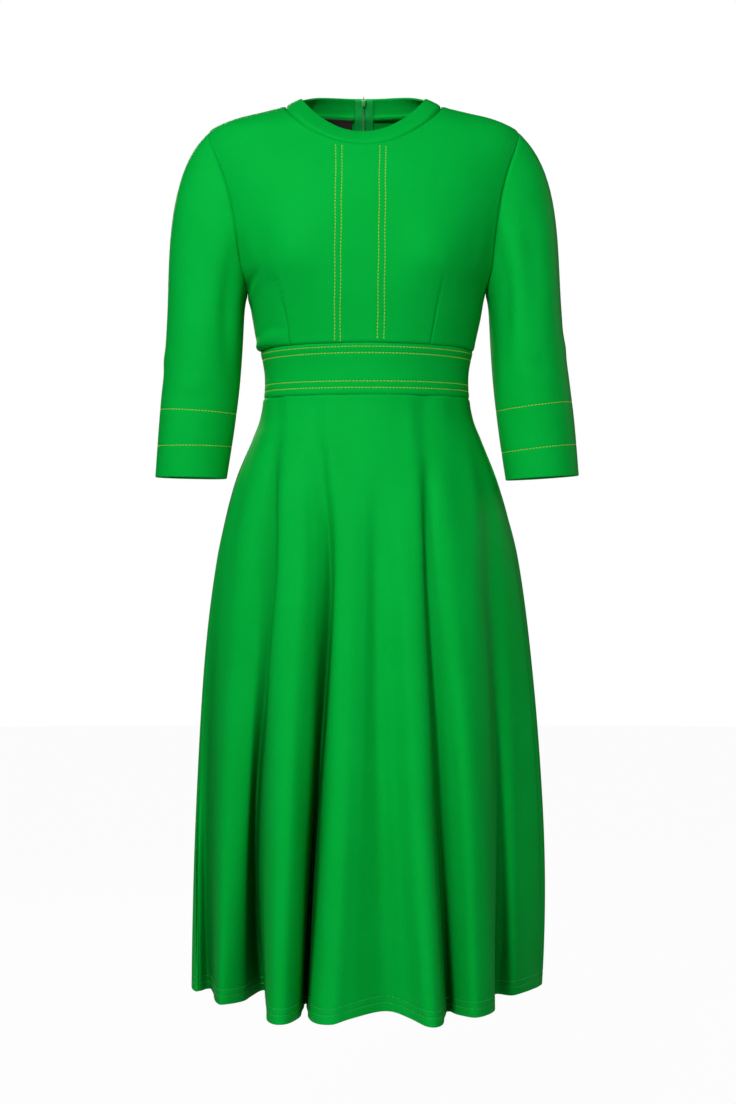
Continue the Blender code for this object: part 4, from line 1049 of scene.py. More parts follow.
def stitch_run(tree, points, normals, start=0.0):
    """Starts, ends and normals of the stitches along one row."""
    size = sizes()
    points = lay_on(tree, points, normals)
    far = run_lengths(points, 0)
    pitch = size.stitch_length + size.stitch_gap
    heads = np.arange(start + size.stitch_gap / 2, far[-1] - size.stitch_length, pitch)

    def at(values, where):
        return np.stack([np.interp(where, far, values[:, k]) for k in range(3)], axis=-1)

    tails = heads + size.stitch_length
    return at(points, heads), at(points, tails), unit(at(normals, (heads + tails) / 2))


def stitch_mesh(name, runs, width):
    starts, ends, normals = (np.concatenate(part) for part in zip(*runs))
    shape = (share * width for share in (STITCH_HEIGHT, STITCH_ARCH, STITCH_SINK))
    return capsules(name, starts, ends, normals, width, *shape)


# ------------------------------------------------------------------ materials

class Value:
    """A socket's output, so that shader maths reads as a Python expression."""

    def __init__(self, tree, socket):
        self.tree = tree
        self.socket = socket

    def maths(self, operation, other=None, swapped=False):
        node = self.tree.nodes.new("ShaderNodeMath")
        node.operation = operation
        terms = [self] if other is None else [other, self] if swapped else [self, other]
        for slot, term in zip(node.inputs, terms):
            feed(self.tree, slot, term)
        return Value(self.tree, node.outputs[0])

    def __add__(self, other):
        return self.maths("ADD", other)

    __radd__ = __add__

    def __sub__(self, other):
        return self.maths("SUBTRACT", other)

    def __rsub__(self, other):
        return self.maths("SUBTRACT", other, swapped=True)

    def __mul__(self, other):
        return self.maths("MULTIPLY", other)

    __rmul__ = __mul__

    def __truediv__(self, other):
        return self.maths("DIVIDE", other)

    def __mod__(self, other):
        return self.maths("FLOORED_MODULO", other)

    def __abs__(self):
        return self.maths("ABSOLUTE")

    def sine(self):
        return self.maths("SINE")

    def clamped(self):
        return self.maths("MINIMUM", 1.0).maths("MAXIMUM", 0.0)


def feed(tree, slot, term):
    if isinstance(term, Value):
        tree.links.new(term.socket, slot)
    else:
        slot.default_value = term


class Finish:
    """Builds one material around a Principled shader."""

    def __init__(self, name, **constants):
        self.material = bpy.data.materials.new(name)
        self.material.use_nodes = True
        self.tree = self.material.node_tree
        self.shader = self.tree.nodes["Principled BSDF"]
        for socket, value in constants.items():
            self.shader.inputs[socket.replace("_", " ")].default_value = value

    def node(self, kind, settings=None, output=0, **sockets):
        node = self.tree.nodes.new(kind)
        for name, value in (settings or {}).items():
            setattr(node, name, value)
        for name, term in sockets.items():
            feed(self.tree, node.inputs[name.replace("_", " ")], term)
        return Value(self.tree, node.outputs[output])

    def mix(self, factor, first, second):
        node = self.tree.nodes.new("ShaderNodeMix")
        node.data_type = "RGBA"
        for slot, term in zip((0, 6, 7), (factor, first, second)):
            feed(self.tree, node.inputs[slot], term if isinstance(term, Value) else (*term, 1))
        return Value(self.tree, node.outputs[2])

    def noise(self, place, scale, detail=2.0, roughness=0.5):
        return self.node("ShaderNodeTexNoise", Vector=place, Scale=scale, Detail=detail,
                         Roughness=roughness)

    def object_place(self):
        return self.node("ShaderNodeTexCoord", output=3)

    def surface_place(self, layer):
        """The two coordinates of a UV map."""
        spot = self.node("ShaderNodeUVMap", {"uv_map": layer})
        parts = self.tree.nodes.new("ShaderNodeSeparateXYZ")
        feed(self.tree, parts.inputs[0], spot)
        return Value(self.tree, parts.outputs[0]), Value(self.tree, parts.outputs[1])

    def surface(self, colour, roughness, height=None, depth=0.0, strength=1.0):
        feed(self.tree, self.shader.inputs["Base Color"], colour)
        feed(self.tree, self.shader.inputs["Roughness"], roughness)
        if height is not None:
            bump = self.node("ShaderNodeBump", Height=height, Distance=depth, Strength=strength)
            feed(self.tree, self.shader.inputs["Normal"], bump)
        return self.material


def once(build):
    """Keeps one material for each name."""
    def shared():
        name = build.__name__.replace("_material", "_finish")
        return bpy.data.materials.get(name) or build(name)
    return shared


# scale, detail and roughness of each finish's noises
KNIT_HEATHER, KNIT_DRIFT, KNIT_FUZZ = (900.0, 3.0, 0.65), (14.0, 3.0, 0.55), (2600.0, 2.0, 0.6)
THREAD_CHANGE, TAPE_FUZZ, COIL_CHANGE = (160.0,), (1500.0,), (700.0,)
SLIDER_CHANGE, SLIDER_PEEL, FLOOR_CHANGE = (500.0, 3.0), (2200.0, 1.0), (3.0,)
HERRINGBONE, TAPE_PICK = 0.0024, 0.0007     # across and along the tape
LABEL_WARP, LABEL_WEFT, LABEL_SLANT = 0.0005, 0.0009, 0.0018
PAINTED_SHADE_STRENGTH, PAINTED_SHADE_TONE = 0.80, 0.30      # how far full painted shade darkens the knit, and the painted shade's colour as a share of the deep knit colour
FLOOR_GLOW = 0.97                           # the share of the floor that the camera sees as plain light


def shade_of(colour, share):
    return tuple(share * part for part in colour)


def wave(value):
    """A sine from 0 to 1 that repeats with every whole number."""
    return (value * (2 * math.pi)).sine() * 0.5 + 0.5


@once
def knit_material(name):
    """Double knit: fine columns of loops, a faint heather, a soft sheen, and painted shade in the folds and
    along the darts.
    """
    size, colour = sizes(), colours()
    finish = Finish(name, Specular_IOR_Level=0.05, Specular_Tint=(0.22, 1.0, 0.30, 1.0),
                    Sheen_Weight=0.03, Sheen_Roughness=0.30, Sheen_Tint=(0.05, 1.0, 0.10, 1.0))
    u, v = finish.surface_place("cloth")
    place = finish.object_place()
    column = (u / size.wale) % 1.0
    leg = abs(column - 0.5) * 2.0
    stitch = (1.0 - leg * leg) * (0.45 + wave(v / size.course + leg * 0.5) * 0.55)
    heather = finish.noise(place, *KNIT_HEATHER)
    drift = finish.noise(place, *KNIT_DRIFT)
    tone = (0.42 + stitch * 0.30 + (heather - 0.5) * 0.70 + (drift - 0.5) * 0.60).clamped()
    fuzz = finish.noise(place, *KNIT_FUZZ)
    # painted shade: the point attribute darkens the knit in the skirt folds' hollows and along the darts'
    # seams
    hollow = finish.node("ShaderNodeAttribute", {"attribute_name": "hollow"}, output=2)
    return finish.surface(
        colour=finish.mix(hollow * PAINTED_SHADE_STRENGTH, finish.mix(tone, colour.knit_deep, colour.knit),
                          shade_of(colour.knit_deep, PAINTED_SHADE_TONE)),
        roughness=0.60 + (heather - 0.5) * 0.16 + (drift - 0.5) * 0.06,
        height=stitch * 0.8 + fuzz * 0.5 + heather * 0.4, depth=0.00016, strength=0.38)


def thread_finish(name, first, second, gloss):
    """Twisted thread: a slanting twist and a slow change of colour from stitch to stitch."""
    finish = Finish(name, Specular_IOR_Level=0.45, Sheen_Weight=0.08)
    along, round_it = finish.surface_place("thread")
    twist = wave(along * 5.0 + round_it * 2.0)
    change = finish.noise(finish.object_place(), *THREAD_CHANGE)
    tone = ((change - 0.35) * 1.6 + twist * 0.30).clamped()
    return finish.surface(colour=finish.mix(tone, second, first), roughness=gloss + twist * 0.10,
                          height=twist, depth=0.00012, strength=0.7)


@once
def contrast_thread_material(name):
    colour = colours()
    return thread_finish(name, colour.contrast, colour.contrast_edge, 0.42)


@once
def hem_thread_material(name):
    colour = colours()
    return thread_finish(name, colour.self_thread, colour.knit_deep, 0.50)


@once
def tape_material(name):
    """Woven zip tape: a fine herringbone."""
    colour = colours()
    finish = Finish(name, Specular_IOR_Level=0.12)
    u, v = finish.surface_place("cloth")
    zigzag = abs((u / HERRINGBONE) % 1.0 - 0.5) * 2.0
    weave = wave(v / TAPE_PICK + zigzag * 1.6)
    fuzz = finish.noise(finish.object_place(), *TAPE_FUZZ)
    tone = (weave * 0.6 + fuzz * 0.4).clamped()
    deep = shade_of(colour.tape, 0.62)
    return finish.surface(colour=finish.mix(tone, deep, colour.tape), roughness=0.66 + fuzz * 0.12,
                          height=weave, depth=0.00012, strength=0.7)


@once
def coil_material(name):
    """Moulded nylon coil."""
    colour = colours()
    finish = Finish(name, Specular_IOR_Level=0.5)
    change = finish.noise(finish.object_place(), *COIL_CHANGE)
    deep = shade_of(colour.coil, 0.75)
    return finish.surface(colour=finish.mix(change, deep, colour.coil), roughness=0.34 + change * 0.12,
                          height=change, depth=0.00003, strength=0.4)


@once
def slider_material(name):
    """Lacquered metal with a faint orange peel and a slow change of tone."""
    colour = colours()
    finish = Finish(name, Specular_IOR_Level=0.5, Coat_Weight=0.5, Coat_Roughness=0.12, Metallic=0.15)
    change = finish.noise(finish.object_place(), *SLIDER_CHANGE)
    peel = finish.noise(finish.object_place(), *SLIDER_PEEL)
    deep = shade_of(colour.slider, 0.80)
    return finish.surface(colour=finish.mix(change, deep, colour.slider), roughness=0.26 + change * 0.14,
                          height=peel, depth=0.00002, strength=0.5)


@once
def label_material(name):
    """Dark woven satin, left bare."""
    colour = colours()
    finish = Finish(name, Specular_IOR_Level=0.5, Sheen_Weight=0.15)
    u, v = finish.surface_place("cloth")
    warp = wave(u / LABEL_WARP)
    weft = wave(v / LABEL_WEFT + u / LABEL_SLANT)
    tone = (warp * 0.5 + weft * 0.5).clamped()
    light = shade_of(colour.label, 2.2)
    return finish.surface(colour=finish.mix(tone, colour.label, light), roughness=0.40 + weft * 0.15,
                          height=warp + weft, depth=0.00008, strength=0.6)


@once
def floor_material(name):
    """A plain pale studio floor, lit from all round where the camera sees it."""
    colour = colours()
    finish = Finish(name, Specular_IOR_Level=0.1)
    change = finish.noise(finish.object_place(), *FLOOR_CHANGE)
    deep = shade_of(colour.floor, 0.985)
    seen = finish.node("ShaderNodeLightPath")
    tree = finish.tree
    glow = tree.nodes.new("ShaderNodeEmission")
    mixed = tree.nodes.new("ShaderNodeMixShader")
    tree.links.new((seen * FLOOR_GLOW).socket, mixed.inputs[0])
    tree.links.new(finish.shader.outputs[0], mixed.inputs[1])
    tree.links.new(glow.outputs[0], mixed.inputs[2])
    tree.links.new(mixed.outputs[0], tree.nodes["Material Output"].inputs["Surface"])
    return finish.surface(colour=finish.mix(change, deep, colour.floor), roughness=0.9 + change * 0.05)


# ------------------------------------------------------------------ pieces

def back_edge(points, side, slit):
    """Moves the centre back edge out to the side of the zip's slit."""
    points[:, 0, 0] += side * slit
    return points


def bodice_panel(name, angle, level, left, right, zip_side=0):
    """One bodice panel with its seams, darts, stitched rows and creases."""
    half = SEAM_GAP / 2
    normals = body_normal(angle, level)
    points = trim(body_point(angle, level), left, right, half, half)
    if zip_side:
        points = back_edge(points, zip_side, CLOSED_SLIT)
    along, up = run_lengths(points, 1), run_lengths(points, 0)
    low, high = up, up[-1:] - up
    relief = seam_relief(low) + seam_relief(high)
    relief += seam_relief(along[:, -1:] - along)
    relief += seam_relief(along, BODICE_ZIP_SEAM if zip_side else 1.0)
    relief += blousing(angle, low)
    relief += slow_waves(points, seed=len(name))
    # the darts' painted shade goes with the panel's mesh, for the knit's colour
    darts, hollow = dart_relief(name, points, normals)
    relief += crease_relief(name, points, normals) + darts
    if name == "bodice_front":
        for row in FRONT_ROWS:
            relief += row_relief(points[..., 0] - front_row_x(row, points[..., 2]))
    points, normals = raised(points, normals, relief)
    thickness = sizes().cloth
    if name == "bodice_front":
        at_armhole = (PANEL_UP > EDGE_UNDERARM - BELOW_ARMHOLE) & (PANEL_UP < EDGE_TIP + PAST_ARMHOLE)
        points, normals, thickness = turned(points, normals, thickness, ("left", "right"),
                                            np.where(at_armhole, 0.0, 1.0))
        hollow = np.pad(hollow, ((0, 0), (2, 2)), mode="edge")
    finish_panel(name, wall_mesh(name, points, normals, thickness, hollow=hollow))


def blousing(angle, low):
    """How far the bodice swells out just above the waist seam."""
    swell = sum(s.rise * bell(((angle - s.angle + 180) % 360 - 180) / s.spread) for s in BLOUSING)
    profile = (low / BLOUSE_PEAK) * np.exp(1 - low / BLOUSE_PEAK)
    return swell * np.where(low < BLOUSE_PEAK, profile, bell((low - BLOUSE_PEAK) / BLOUSE_REACH))


def front_row_x(row, level):
    share = (level - FRONT_ROW_TOP) / (FRONT_ROW_BOTTOM - FRONT_ROW_TOP)
    wobble = ROW_WOBBLE * np.sin(level * WOBBLE_RATE + row.top * WOBBLE_SHIFT)
    return row.top + (row.bottom - row.top) * share + wobble


FRONT_ACROSS = graded(*FRONT_GRID) / PANEL_HALF
BACK_ACROSS = graded(*BACK_GRID) / PANEL_HALF
PANEL_UP = graded(*UP_GRID) / PANEL_TALL


class DRESS_OT_bodice(bpy.types.Operator):
    """Front bodice and both back bodice panels"""

    bl_idname = "dress.bodice"
    bl_label = "Bodice"

    def execute(self, context):
        half = SEAM_GAP / 2
        angle, level = bodice_domain(False, FRONT_ACROSS, PANEL_UP)
        whole = np.hstack([-angle[:, :0:-1], angle]), np.hstack([level[:, :0:-1], level])
        bodice_panel("bodice_front", *whole, half, half)
        angle, level = bodice_domain(True, BACK_ACROSS, PANEL_UP)
        for name, side in SIDES:
            bodice_panel("bodice_back_" + name, side * angle, level, 0, half, side)
        return {"FINISHED"}


class DRESS_OT_sleeves(bpy.types.Operator):
    """Both three-quarter sleeves, each one closed tube set into its armhole"""

    bl_idname = "dress.sleeves"
    bl_label = "Sleeves"

    def execute(self, context):
        for name, side in SIDES:
            self.sleeve(name, side)
        return {"FINISHED"}

    def sleeve(self, name, side):
        piece = "sleeve_" + name
        turn = graded(*SLEEVE_TURNS)[:-1]
        top = SLEEVE_RINGS[0].level
        length = top - SLEEVE_RINGS[-1].level
        zones = [Zone(length - r, length - r + w, SLEEVE_ROW_STEP) for r, w in SLEEVE_ROW_ZONES]
        zones.append(Zone(length - CUFF_EDGE, length, CUFF_EDGE_STEP))
        tube = top - graded(length, SLEEVE_STEP, zones)[1:]
        points, off = sleeve_points(side, turn, graded(*SLEEVE_CAP), tube)
        outward = (points - np.array([side * SLEEVE_MIDDLE[0], SLEEVE_MIDDLE[1], 0])) * (1, 1, 0)
        normals = grid_normals(points, True, outward)
        toward = np.maximum(np.sum(normals[0] * off, axis=-1, keepdims=True), 0)
        normals[0] = unit(normals[0] - toward * off)
        down = run_lengths(points, 0)
        relief = seam_relief(down, ARMHOLE_SEAM)
        underarm = np.minimum(turn, 360 - turn)[None, :] * math.pi / 180 * UNDERARM_RADIUS
        relief += seam_relief(underarm + 0 * down)
        relief += slow_waves(points, seed=side + 40)
        relief += crease_relief(piece, points, normals)
        for row in CUFF_ROWS[name]:
            relief += row_relief(points[..., 2] - cuff_row_level(side, row, turn)[None, :])
        points, shown = raised(points, normals, relief, closed=True)
        shown[0] = normals[0]
        thickness = turned_up(sizes().cuff_depth, down[-1:] - down)
        seam_normals = armhole_at(side, turn)[1]
        points, shown, thickness = tucked(points, shown, thickness, seam_normals, -off)
        walls = (grid[::-1] for grid in (points, shown, thickness))
        finish_panel(piece, wall_mesh(piece, *walls, closed=True, round_low=EDGE_FACETS))


def cuff_row_level(side, row, turn):
    """Level of a stitched row round a sleeve, from its distances above the cuff's edge."""
    c = np.cos(np.radians(turn))
    edge = SLEEVE_RINGS[-1].level - CUFF_TILT["right" if side > 0 else "left"] * c
    return edge + row.inner + (row.outer - row.inner) * (1 - c) / 2


class DRESS_OT_neckband(bpy.types.Operator):
    """Narrow standing neckband, a doubled strip with a folded top edge"""

    bl_idname = "dress.neckband"
    bl_label = "Neckband"

    def execute(self, context):
        turn = graded(*BAND_TURNS)[None, :] - 180
        share = graded(*BAND_SHARES)[:, None]
        points = band_point(turn + 0 * share, share + 0 * turn)
        points = trim(points, low=SEAM_GAP)
        points = back_edge(points, -1, ZIP_SLIT)
        points[:, -1, 0] += ZIP_SLIT
        turns = np.radians(turn + 0 * share)
        outward = np.stack([np.sin(turns), -np.cos(turns), 0 * turns], axis=-1)
        normals = grid_normals(points, False, outward)
        normals[:, 0] = normals[:, 1]
        normals[:, -1] = normals[:, -2]
        up = run_lengths(points, 0)
        relief = seam_relief(up, NECK_SEAM) + slow_waves(points, seed=5) * NECK_WAVES
        points, shown = raised(points, normals, relief)
        angle, level = neck_domain(np.abs(turn[0]))
        panel_normals = body_normal(np.sign(turn[0]) * angle, level)
        ahead = np.gradient(points[0], axis=0)
        away = -unit(np.cross(panel_normals, ahead))
        thickness = np.full(points.shape[:2], sizes().band_cloth)
        walls = tucked(points, shown, thickness, panel_normals, away)
        finish_panel("neckband", wall_mesh("neckband", *walls, round_high=BAND_FACETS))
        return {"FINISHED"}


class DRESS_OT_waistband(bpy.types.Operator):
    """Shaped waistband set in between the bodice and the skirt, in three pieces"""

    bl_idname = "dress.waistband"
    bl_label = "Waistband"

    def execute(self, context):
        self.piece("waistband_front", -90, 90)
        for name, side in SIDES:
            self.piece("waistband_back_" + name, 180 * side, 90 * side, side)
        return {"FINISHED"}

    def piece(self, name, start, end, zip_side=0):
        half = SEAM_GAP / 2
        share = graded(*WAIST_SHARES)[:, None]
        span = abs(end - start)
        ends = ((0, WAIST_EDGE), (span - WAIST_EDGE, span))
        across = graded(span, WAIST_STEP, [Zone(*edge, WAIST_EDGE_STEP) for edge in ends])
        angle = start + math.copysign(1, end - start) * across[None, :]
        low, high = seam_level(WAIST_BOTTOM, angle), seam_level(WAIST_TOP, angle)
        level = low + (high - low) * share
        angle = angle + 0 * share
        normals = body_normal(angle, level)
        points = trim(body_point(angle, level), 0 if zip_side else half, half, half, half)
        if zip_side:
            points = back_edge(points, zip_side, CLOSED_SLIT)
        along, up = run_lengths(points, 1), run_lengths(points, 0)
        down = up[-1:] - up
        relief = seam_relief(up) + seam_relief(down) + seam_relief(along, BAND_SIDE_SEAM)
        relief += seam_relief(along[:, -1:] - along) + slow_waves(points, seed=len(name) + 9) * BAND_WAVES
        for row in BAND_ROWS_BELOW:
            relief += row_relief(down - row)
        for row in BAND_ROWS_ABOVE:
            relief += row_relief(up - row)
        points, normals = raised(points, normals, relief)
        edges = ("low", "high") if zip_side else ("low", "high", "left", "right")
        finish_panel(name, wall_mesh(name, *turned(points, normals, sizes().cloth, edges)))


SKIRT_TALL = WAIST_BOTTOM.side - HEM_LEVEL
SKIRT_SHARES = graded(SKIRT_TALL, .0052, [
    Zone(0, .003, .0008), Zone(.006, .020, .0013), Zone(SKIRT_TALL - .005, SKIRT_TALL, .0008),
]) / SKIRT_TALL


def skirt_places(start, end):
    """Columns between two side lines, evenly spaced along the hem and closer at the seams."""
    fine = np.linspace(start, end, SKIRT_PLACES)
    far = run_lengths(skirt_points(fine, np.full_like(fine, HEM_LEVEL)), 0)
    ends = ((0, SKIRT_EDGE), (far[-1] - SKIRT_EDGE, far[-1]))
    wanted = graded(far[-1], SKIRT_STEP, [Zone(*edge, SKIRT_EDGE_STEP) for edge in ends])
    return np.interp(wanted, far, fine)


def skirt_normals(place, level, step):
    across = skirt_points(place + step, level) - skirt_points(place - step, level)
    rise = skirt_points(place, level + SLOPE_STEP) - skirt_points(place, level - SLOPE_STEP)
    return unit(np.cross(across, rise))


def fold_shade(points, place, level):
    """Painted shade inside the folds, from 0 on their crests to 1."""
    x, y, z = np.moveaxis(points, -1, 0)
    reach = np.hypot(x / HALF_WIDTH(z), y / np.where(y < 0, FRONT(z), BACK(z)))
    hollow = soft_step((PAINTED_SHADE_START - reach) / PAINTED_SHADE_SPAN)
    low = soft_step((SHADE_TOP - level) / (SHADE_TOP - SHADE_FULL))
    for shade in SHADES:
        hollow = hollow + shade.amount * low * bell((place - shade.place) / shade.spread)
    return np.clip(hollow, 0, 1)


class DRESS_OT_skirt(bpy.types.Operator):
    """Flared skirt in soft deep folds: one front and two back panels"""

    bl_idname = "dress.skirt"
    bl_label = "Skirt"

    def execute(self, context):
        half = SEAM_GAP / 2
        left, right, back = place_at(-90), place_at(90), place_at(180)
        self.panel("skirt_front", skirt_places(left, right), half, half)
        self.panel("skirt_back_right", skirt_places(right, back)[::-1], 0, half, 1)
        self.panel("skirt_back_left", skirt_places(back, left + len(WAIST_ANGLES)), 0, half, -1)
        return {"FINISHED"}

    def panel(self, name, places, left, right, zip_side=0):
        half = SEAM_GAP / 2
        top = seam_level(WAIST_BOTTOM, waist_angle(places))
        hem = hem_level(places)
        level = hem + (top - hem) * SKIRT_SHARES[:, None]
        place = places[None, :] + 0 * level
        points = skirt_points(place, level)
        normals = skirt_normals(place, level, math.copysign(PLACE_STEP, places[-1] - places[0]))
        centre = points * (1, 1, 0)
        if np.sum(normals[-20:] * centre[-20:]) < 0:
            normals = -normals
        points = trim(points, left, right, 0, half)
        if zip_side:
            points = back_edge(points, zip_side, CLOSED_SLIT)
        along, up = run_lengths(points, 1), run_lengths(points, 0)
        relief = seam_relief(up[-1:] - up) + seam_relief(along[:, -1:] - along, SKIRT_SIDE_SEAM)
        relief += seam_relief(along, SKIRT_ZIP_SEAM if zip_side else SKIRT_SIDE_SEAM)
        relief += slow_waves(points, seed=len(name) + 3, tall=SKIRT_WAVE_TALL) * SKIRT_WAVES
        relief += crease_relief(name, points, normals)
        for row in HEM_ROWS:
            relief += row_relief(up - row)
        points, shown = raised(points, normals, relief)
        thickness = turned_up(sizes().hem_depth, up)
        # painted shade in the folds' hollows, for the knit's colour
        hollow = fold_shade(points, place, level)
        edges = () if zip_side else ("left", "right")
        if edges:
            hollow = np.pad(hollow, ((0, 0), (2, 2)), mode="edge")
        walls = turned(points, shown, thickness, edges)
        finish_panel(name, wall_mesh(name, *walls, round_low=EDGE_FACETS, hollow=hollow))


class DRESS_OT_topstitching(bpy.types.Operator):
    """Contrast topstitching on the front, the waistband and the sleeves"""

    bl_idname = "dress.topstitching"
    bl_label = "Contrast topstitching"

    def execute(self, context):
        self.front_rows()
        self.waistband_rows()
        for name, side in SIDES:
            self.cuff_rows(name, side)
        return {"FINISHED"}

    def finish(self, name, runs):
        mesh = stitch_mesh(name, runs, sizes().thread)
        link(name, mesh, contrast_thread_material())

    def front_rows(self):
        tree = cloth_tree("bodice_front")
        level = np.linspace(FRONT_ROW_TOP, FRONT_ROW_BOTTOM, FRONT_POINTS)
        runs = []
        for k, row in enumerate(FRONT_ROWS):
            x = front_row_x(row, level) - lean(level)
            angle = angle_at(x, level) * np.sign(x)
            run = stitch_run(tree, body_point(angle, level), body_normal(angle, level), k * FRONT_SHIFT)
            runs.append(run)
        self.finish("topstitching_front", runs)

    def waistband_rows(self):
        tree = cloth_tree("waistband_front", "waistband_back_left", "waistband_back_right")
        runs = []
        for start, end in BAND_RUNS:
            angle = np.linspace(start, end, BAND_POINTS)
            top, bottom = seam_level(WAIST_TOP, angle), seam_level(WAIST_BOTTOM, angle)
            lines = [top - d for d in BAND_ROWS_BELOW] + [bottom + d for d in BAND_ROWS_ABOVE]
            for k, level in enumerate(lines):
                run = stitch_run(tree, body_point(angle, level), body_normal(angle, level), k * BAND_SHIFT)
                runs.append(run)
        self.finish("topstitching_waistband", runs)

    def cuff_rows(self, name, side):
        tree = cloth_tree("sleeve_" + name)
        turn = np.linspace(*CUFF_RUN, CUFF_POINTS)
        runs = []
        for row in CUFF_ROWS[name]:
            wanted = cuff_row_level(side, row, turn)
            tilt = CUFF_TILT[name] * np.cos(np.radians(turn))
            points = sleeve_ring(side, turn, wanted + tilt)
            points[:, 2] = wanted
            ahead = sleeve_ring(side, turn + 1, wanted) - sleeve_ring(side, turn - 1, wanted)
            normals = unit(np.cross(ahead, (0, 0, 1))) * side
            middle = np.array([side * CUFF_MIDDLE[0], CUFF_MIDDLE[1], 0])
            if np.sum(normals * (points - middle) * (1, 1, 0)) < 0:
                normals = -normals
            runs.append(stitch_run(tree, points, normals))
        self.finish("topstitching_cuff_" + name, runs)


class DRESS_OT_hem_stitching(bpy.types.Operator):
    """Two rows of self-coloured stitches above the hem"""

    bl_idname = "dress.hem_stitching"
    bl_label = "Hem stitching"

    def execute(self, context):
        tree = cloth_tree("skirt_front", "skirt_back_left", "skirt_back_right")
        places = np.linspace(0, len(WAIST_ANGLES), HEM_POINTS)
        runs = []
        for row in HEM_ROWS:
            level = hem_level(places) + row
            normals = skirt_normals(places, level, HEM_PLACE_STEP)
            runs.append(stitch_run(tree, skirt_points(places, level), normals))
        mesh = stitch_mesh("hem_stitches", runs, HEM_THREAD * sizes().thread)
        link("hem_stitches", mesh, hem_thread_material())
        return {"FINISHED"}


def back_tree():
    parts = ("bodice_back_", "waistband_back_", "skirt_back_")
    return cloth_tree("neckband", *(part + name for part in parts for name, _ in SIDES))


def inside_back(tree, x, levels):
    """Points on the inner face of the back, x from the leaning centre line, and the way in."""
    found, spots, facing = [], [], []
    for z, shift in zip(levels, lean(levels)):
        start = Vector((x + shift, 0.0, z))
        spot, normal = tree.ray_cast(start, Vector((0, 1, 0)), INSIDE_REACH)[:2]
        if spot is not None:
            found.append(z)
            spots.append(spot)
            facing.append(normal if normal.y < 0 else -normal)
    if len(found) < LEAST_FOUND * len(levels):
        raise RuntimeError(f"the back is open at x {x:.4f}")
    order = np.argsort(found)
    found = np.array(found)[order]

    def at_levels(values):
        values = np.array(values)[order]
        return np.stack([np.interp(levels, found, values[:, k]) for k in range(3)], axis=-1)

    spots, facing = at_levels(spots), at_levels(facing)
    for _ in range(SMOOTH_TURNS):
        spots[1:-1, 1] = (spots[:-2, 1] + 2 * spots[1:-1, 1] + spots[2:, 1]) / 4
        facing[1:-1] = facing[:-2] + 2 * facing[1:-1] + facing[2:]
        facing = unit(facing)
    return spots, facing


def centre_of_zip(tree, levels):
    """The middle of the zip, between the two back panels, on their inner faces."""
    left, left_in = inside_back(tree, -BESIDE_ZIP, levels)
    right, right_in = inside_back(tree, BESIDE_ZIP, levels)
    return (left + right) / 2, unit(left_in + right_in)


class DRESS_OT_zip(bpy.types.Operator):
    """Zip tapes, the coil's turns and the bottom stop, inside the centre back"""

    bl_idname = "dress.zip"
    bl_label = "Zip"

    def execute(self, context):
        tree = back_tree()
        levels = np.arange(ZIP_TOP, TAPE_BOTTOM, -TAPE_STEP)
        for name, side in SIDES:
            self.tape(tree, "zip_tape_" + name, side, levels)
        self.coil(tree)
        self.stop()
        return {"FINISHED"}

    def tape(self, tree, name, side, levels):
        columns = np.linspace(TAPE_INNER, TAPE_OUTER, TAPE_COLUMNS)
        lines = [inside_back(tree, side * x, levels) for x in columns]
        points = np.stack([p + n * TAPE_CLEAR for p, n in lines], axis=1)[::-1]
        normals = np.stack([n for _, n in lines], axis=1)[::-1]
        ribs = TAPE_RIB * np.cos(np.linspace(0, 2 * TAPE_RIBS * math.pi, TAPE_COLUMNS))[None, :]
        points = points + normals * ribs[..., None]
        mesh = wall_mesh(name, points, normals, TAPE_THICK)
        piece = link("woven_" + name, mesh, tape_material())
        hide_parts(name)

    def coil(self, tree):
        levels = np.arange(CHAIN_TOP, CHAIN_BOTTOM, -sizes().zip_pitch / 2)
        sample = np.arange(CHAIN_TOP, CHAIN_BOTTOM - COIL_STEP, -COIL_STEP)
        line, inward = centre_of_zip(tree, sample)

        def at(values):
            return np.stack([np.interp(-levels, -sample, values[:, k]) for k in range(3)], axis=-1)

        middle, facing = at(line), unit(at(inward))
        side = np.where(np.arange(len(levels)) % 2, 1.0, -1.0)[:, None]
        across = np.array([1.0, 0, 0])
        base = middle + facing * COIL_CLEAR
        starts = base - side * across * COIL_INNER
        ends = base + side * across * COIL_OUTER
        mesh = capsules("coil", starts, ends, facing, *COIL_SHAPE)
        piece = link("zip_coil_turns", mesh, coil_material())
        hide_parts("zip_chain")

    def stop(self):
        item = block(*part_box("zip_stop"))
        bevelled(item, *STOP_BEVEL)
        settle(item, "zip_bottom_stop", BODY, "zip_stop")


# ------------------------------------------------------------------ hard pieces

def clear_selection():
    for item in bpy.context.selected_objects:
        item.select_set(False)


def bevelled(item, width, segments):
    bevel = item.modifiers.new("soft edges", "BEVEL")
    bevel.width = width
    bevel.segments = segments
    bevel.limit_method = "ANGLE"
    bevel.angle_limit = math.radians(BEVEL_ANGLE)
    bpy.context.view_layer.objects.active = item
    bpy.ops.object.modifier_apply(modifier=bevel.name)


def settle(item, name, body, node):
    """Names a finished hard piece and lets it ride on its body in place of a solid."""
    item.name = name
    item.data.name = name
    clear_selection()
    item.select_set(True)
    bpy.context.view_layer.objects.active = item
    bpy.ops.object.shade_smooth_by_angle(angle=math.radians(SMOOTH_ANGLE))
    item.data.materials.clear()
    item.data.materials.append(slider_material())
    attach(item, body)
    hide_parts(node)
    clear_selection()


def band_frame(outward):
    """From the slider's own axes to the dress: x across, y out of the band, z up along it."""
    shares = (SLIDER_SHARE - SHARE_STEP, SLIDER_SHARE, SLIDER_SHARE + SHARE_STEP)
    foot, spot, top = (band_point(np.array(180.0), share) for share in shares)
    tilt = math.atan2(foot[1] - top[1], top[2] - foot[2])
    tilted = Matrix.Rotation(tilt, 4, "X")
    return Matrix.Translation(Vector(spot)) @ tilted @ Matrix.Translation((0, outward, 0))


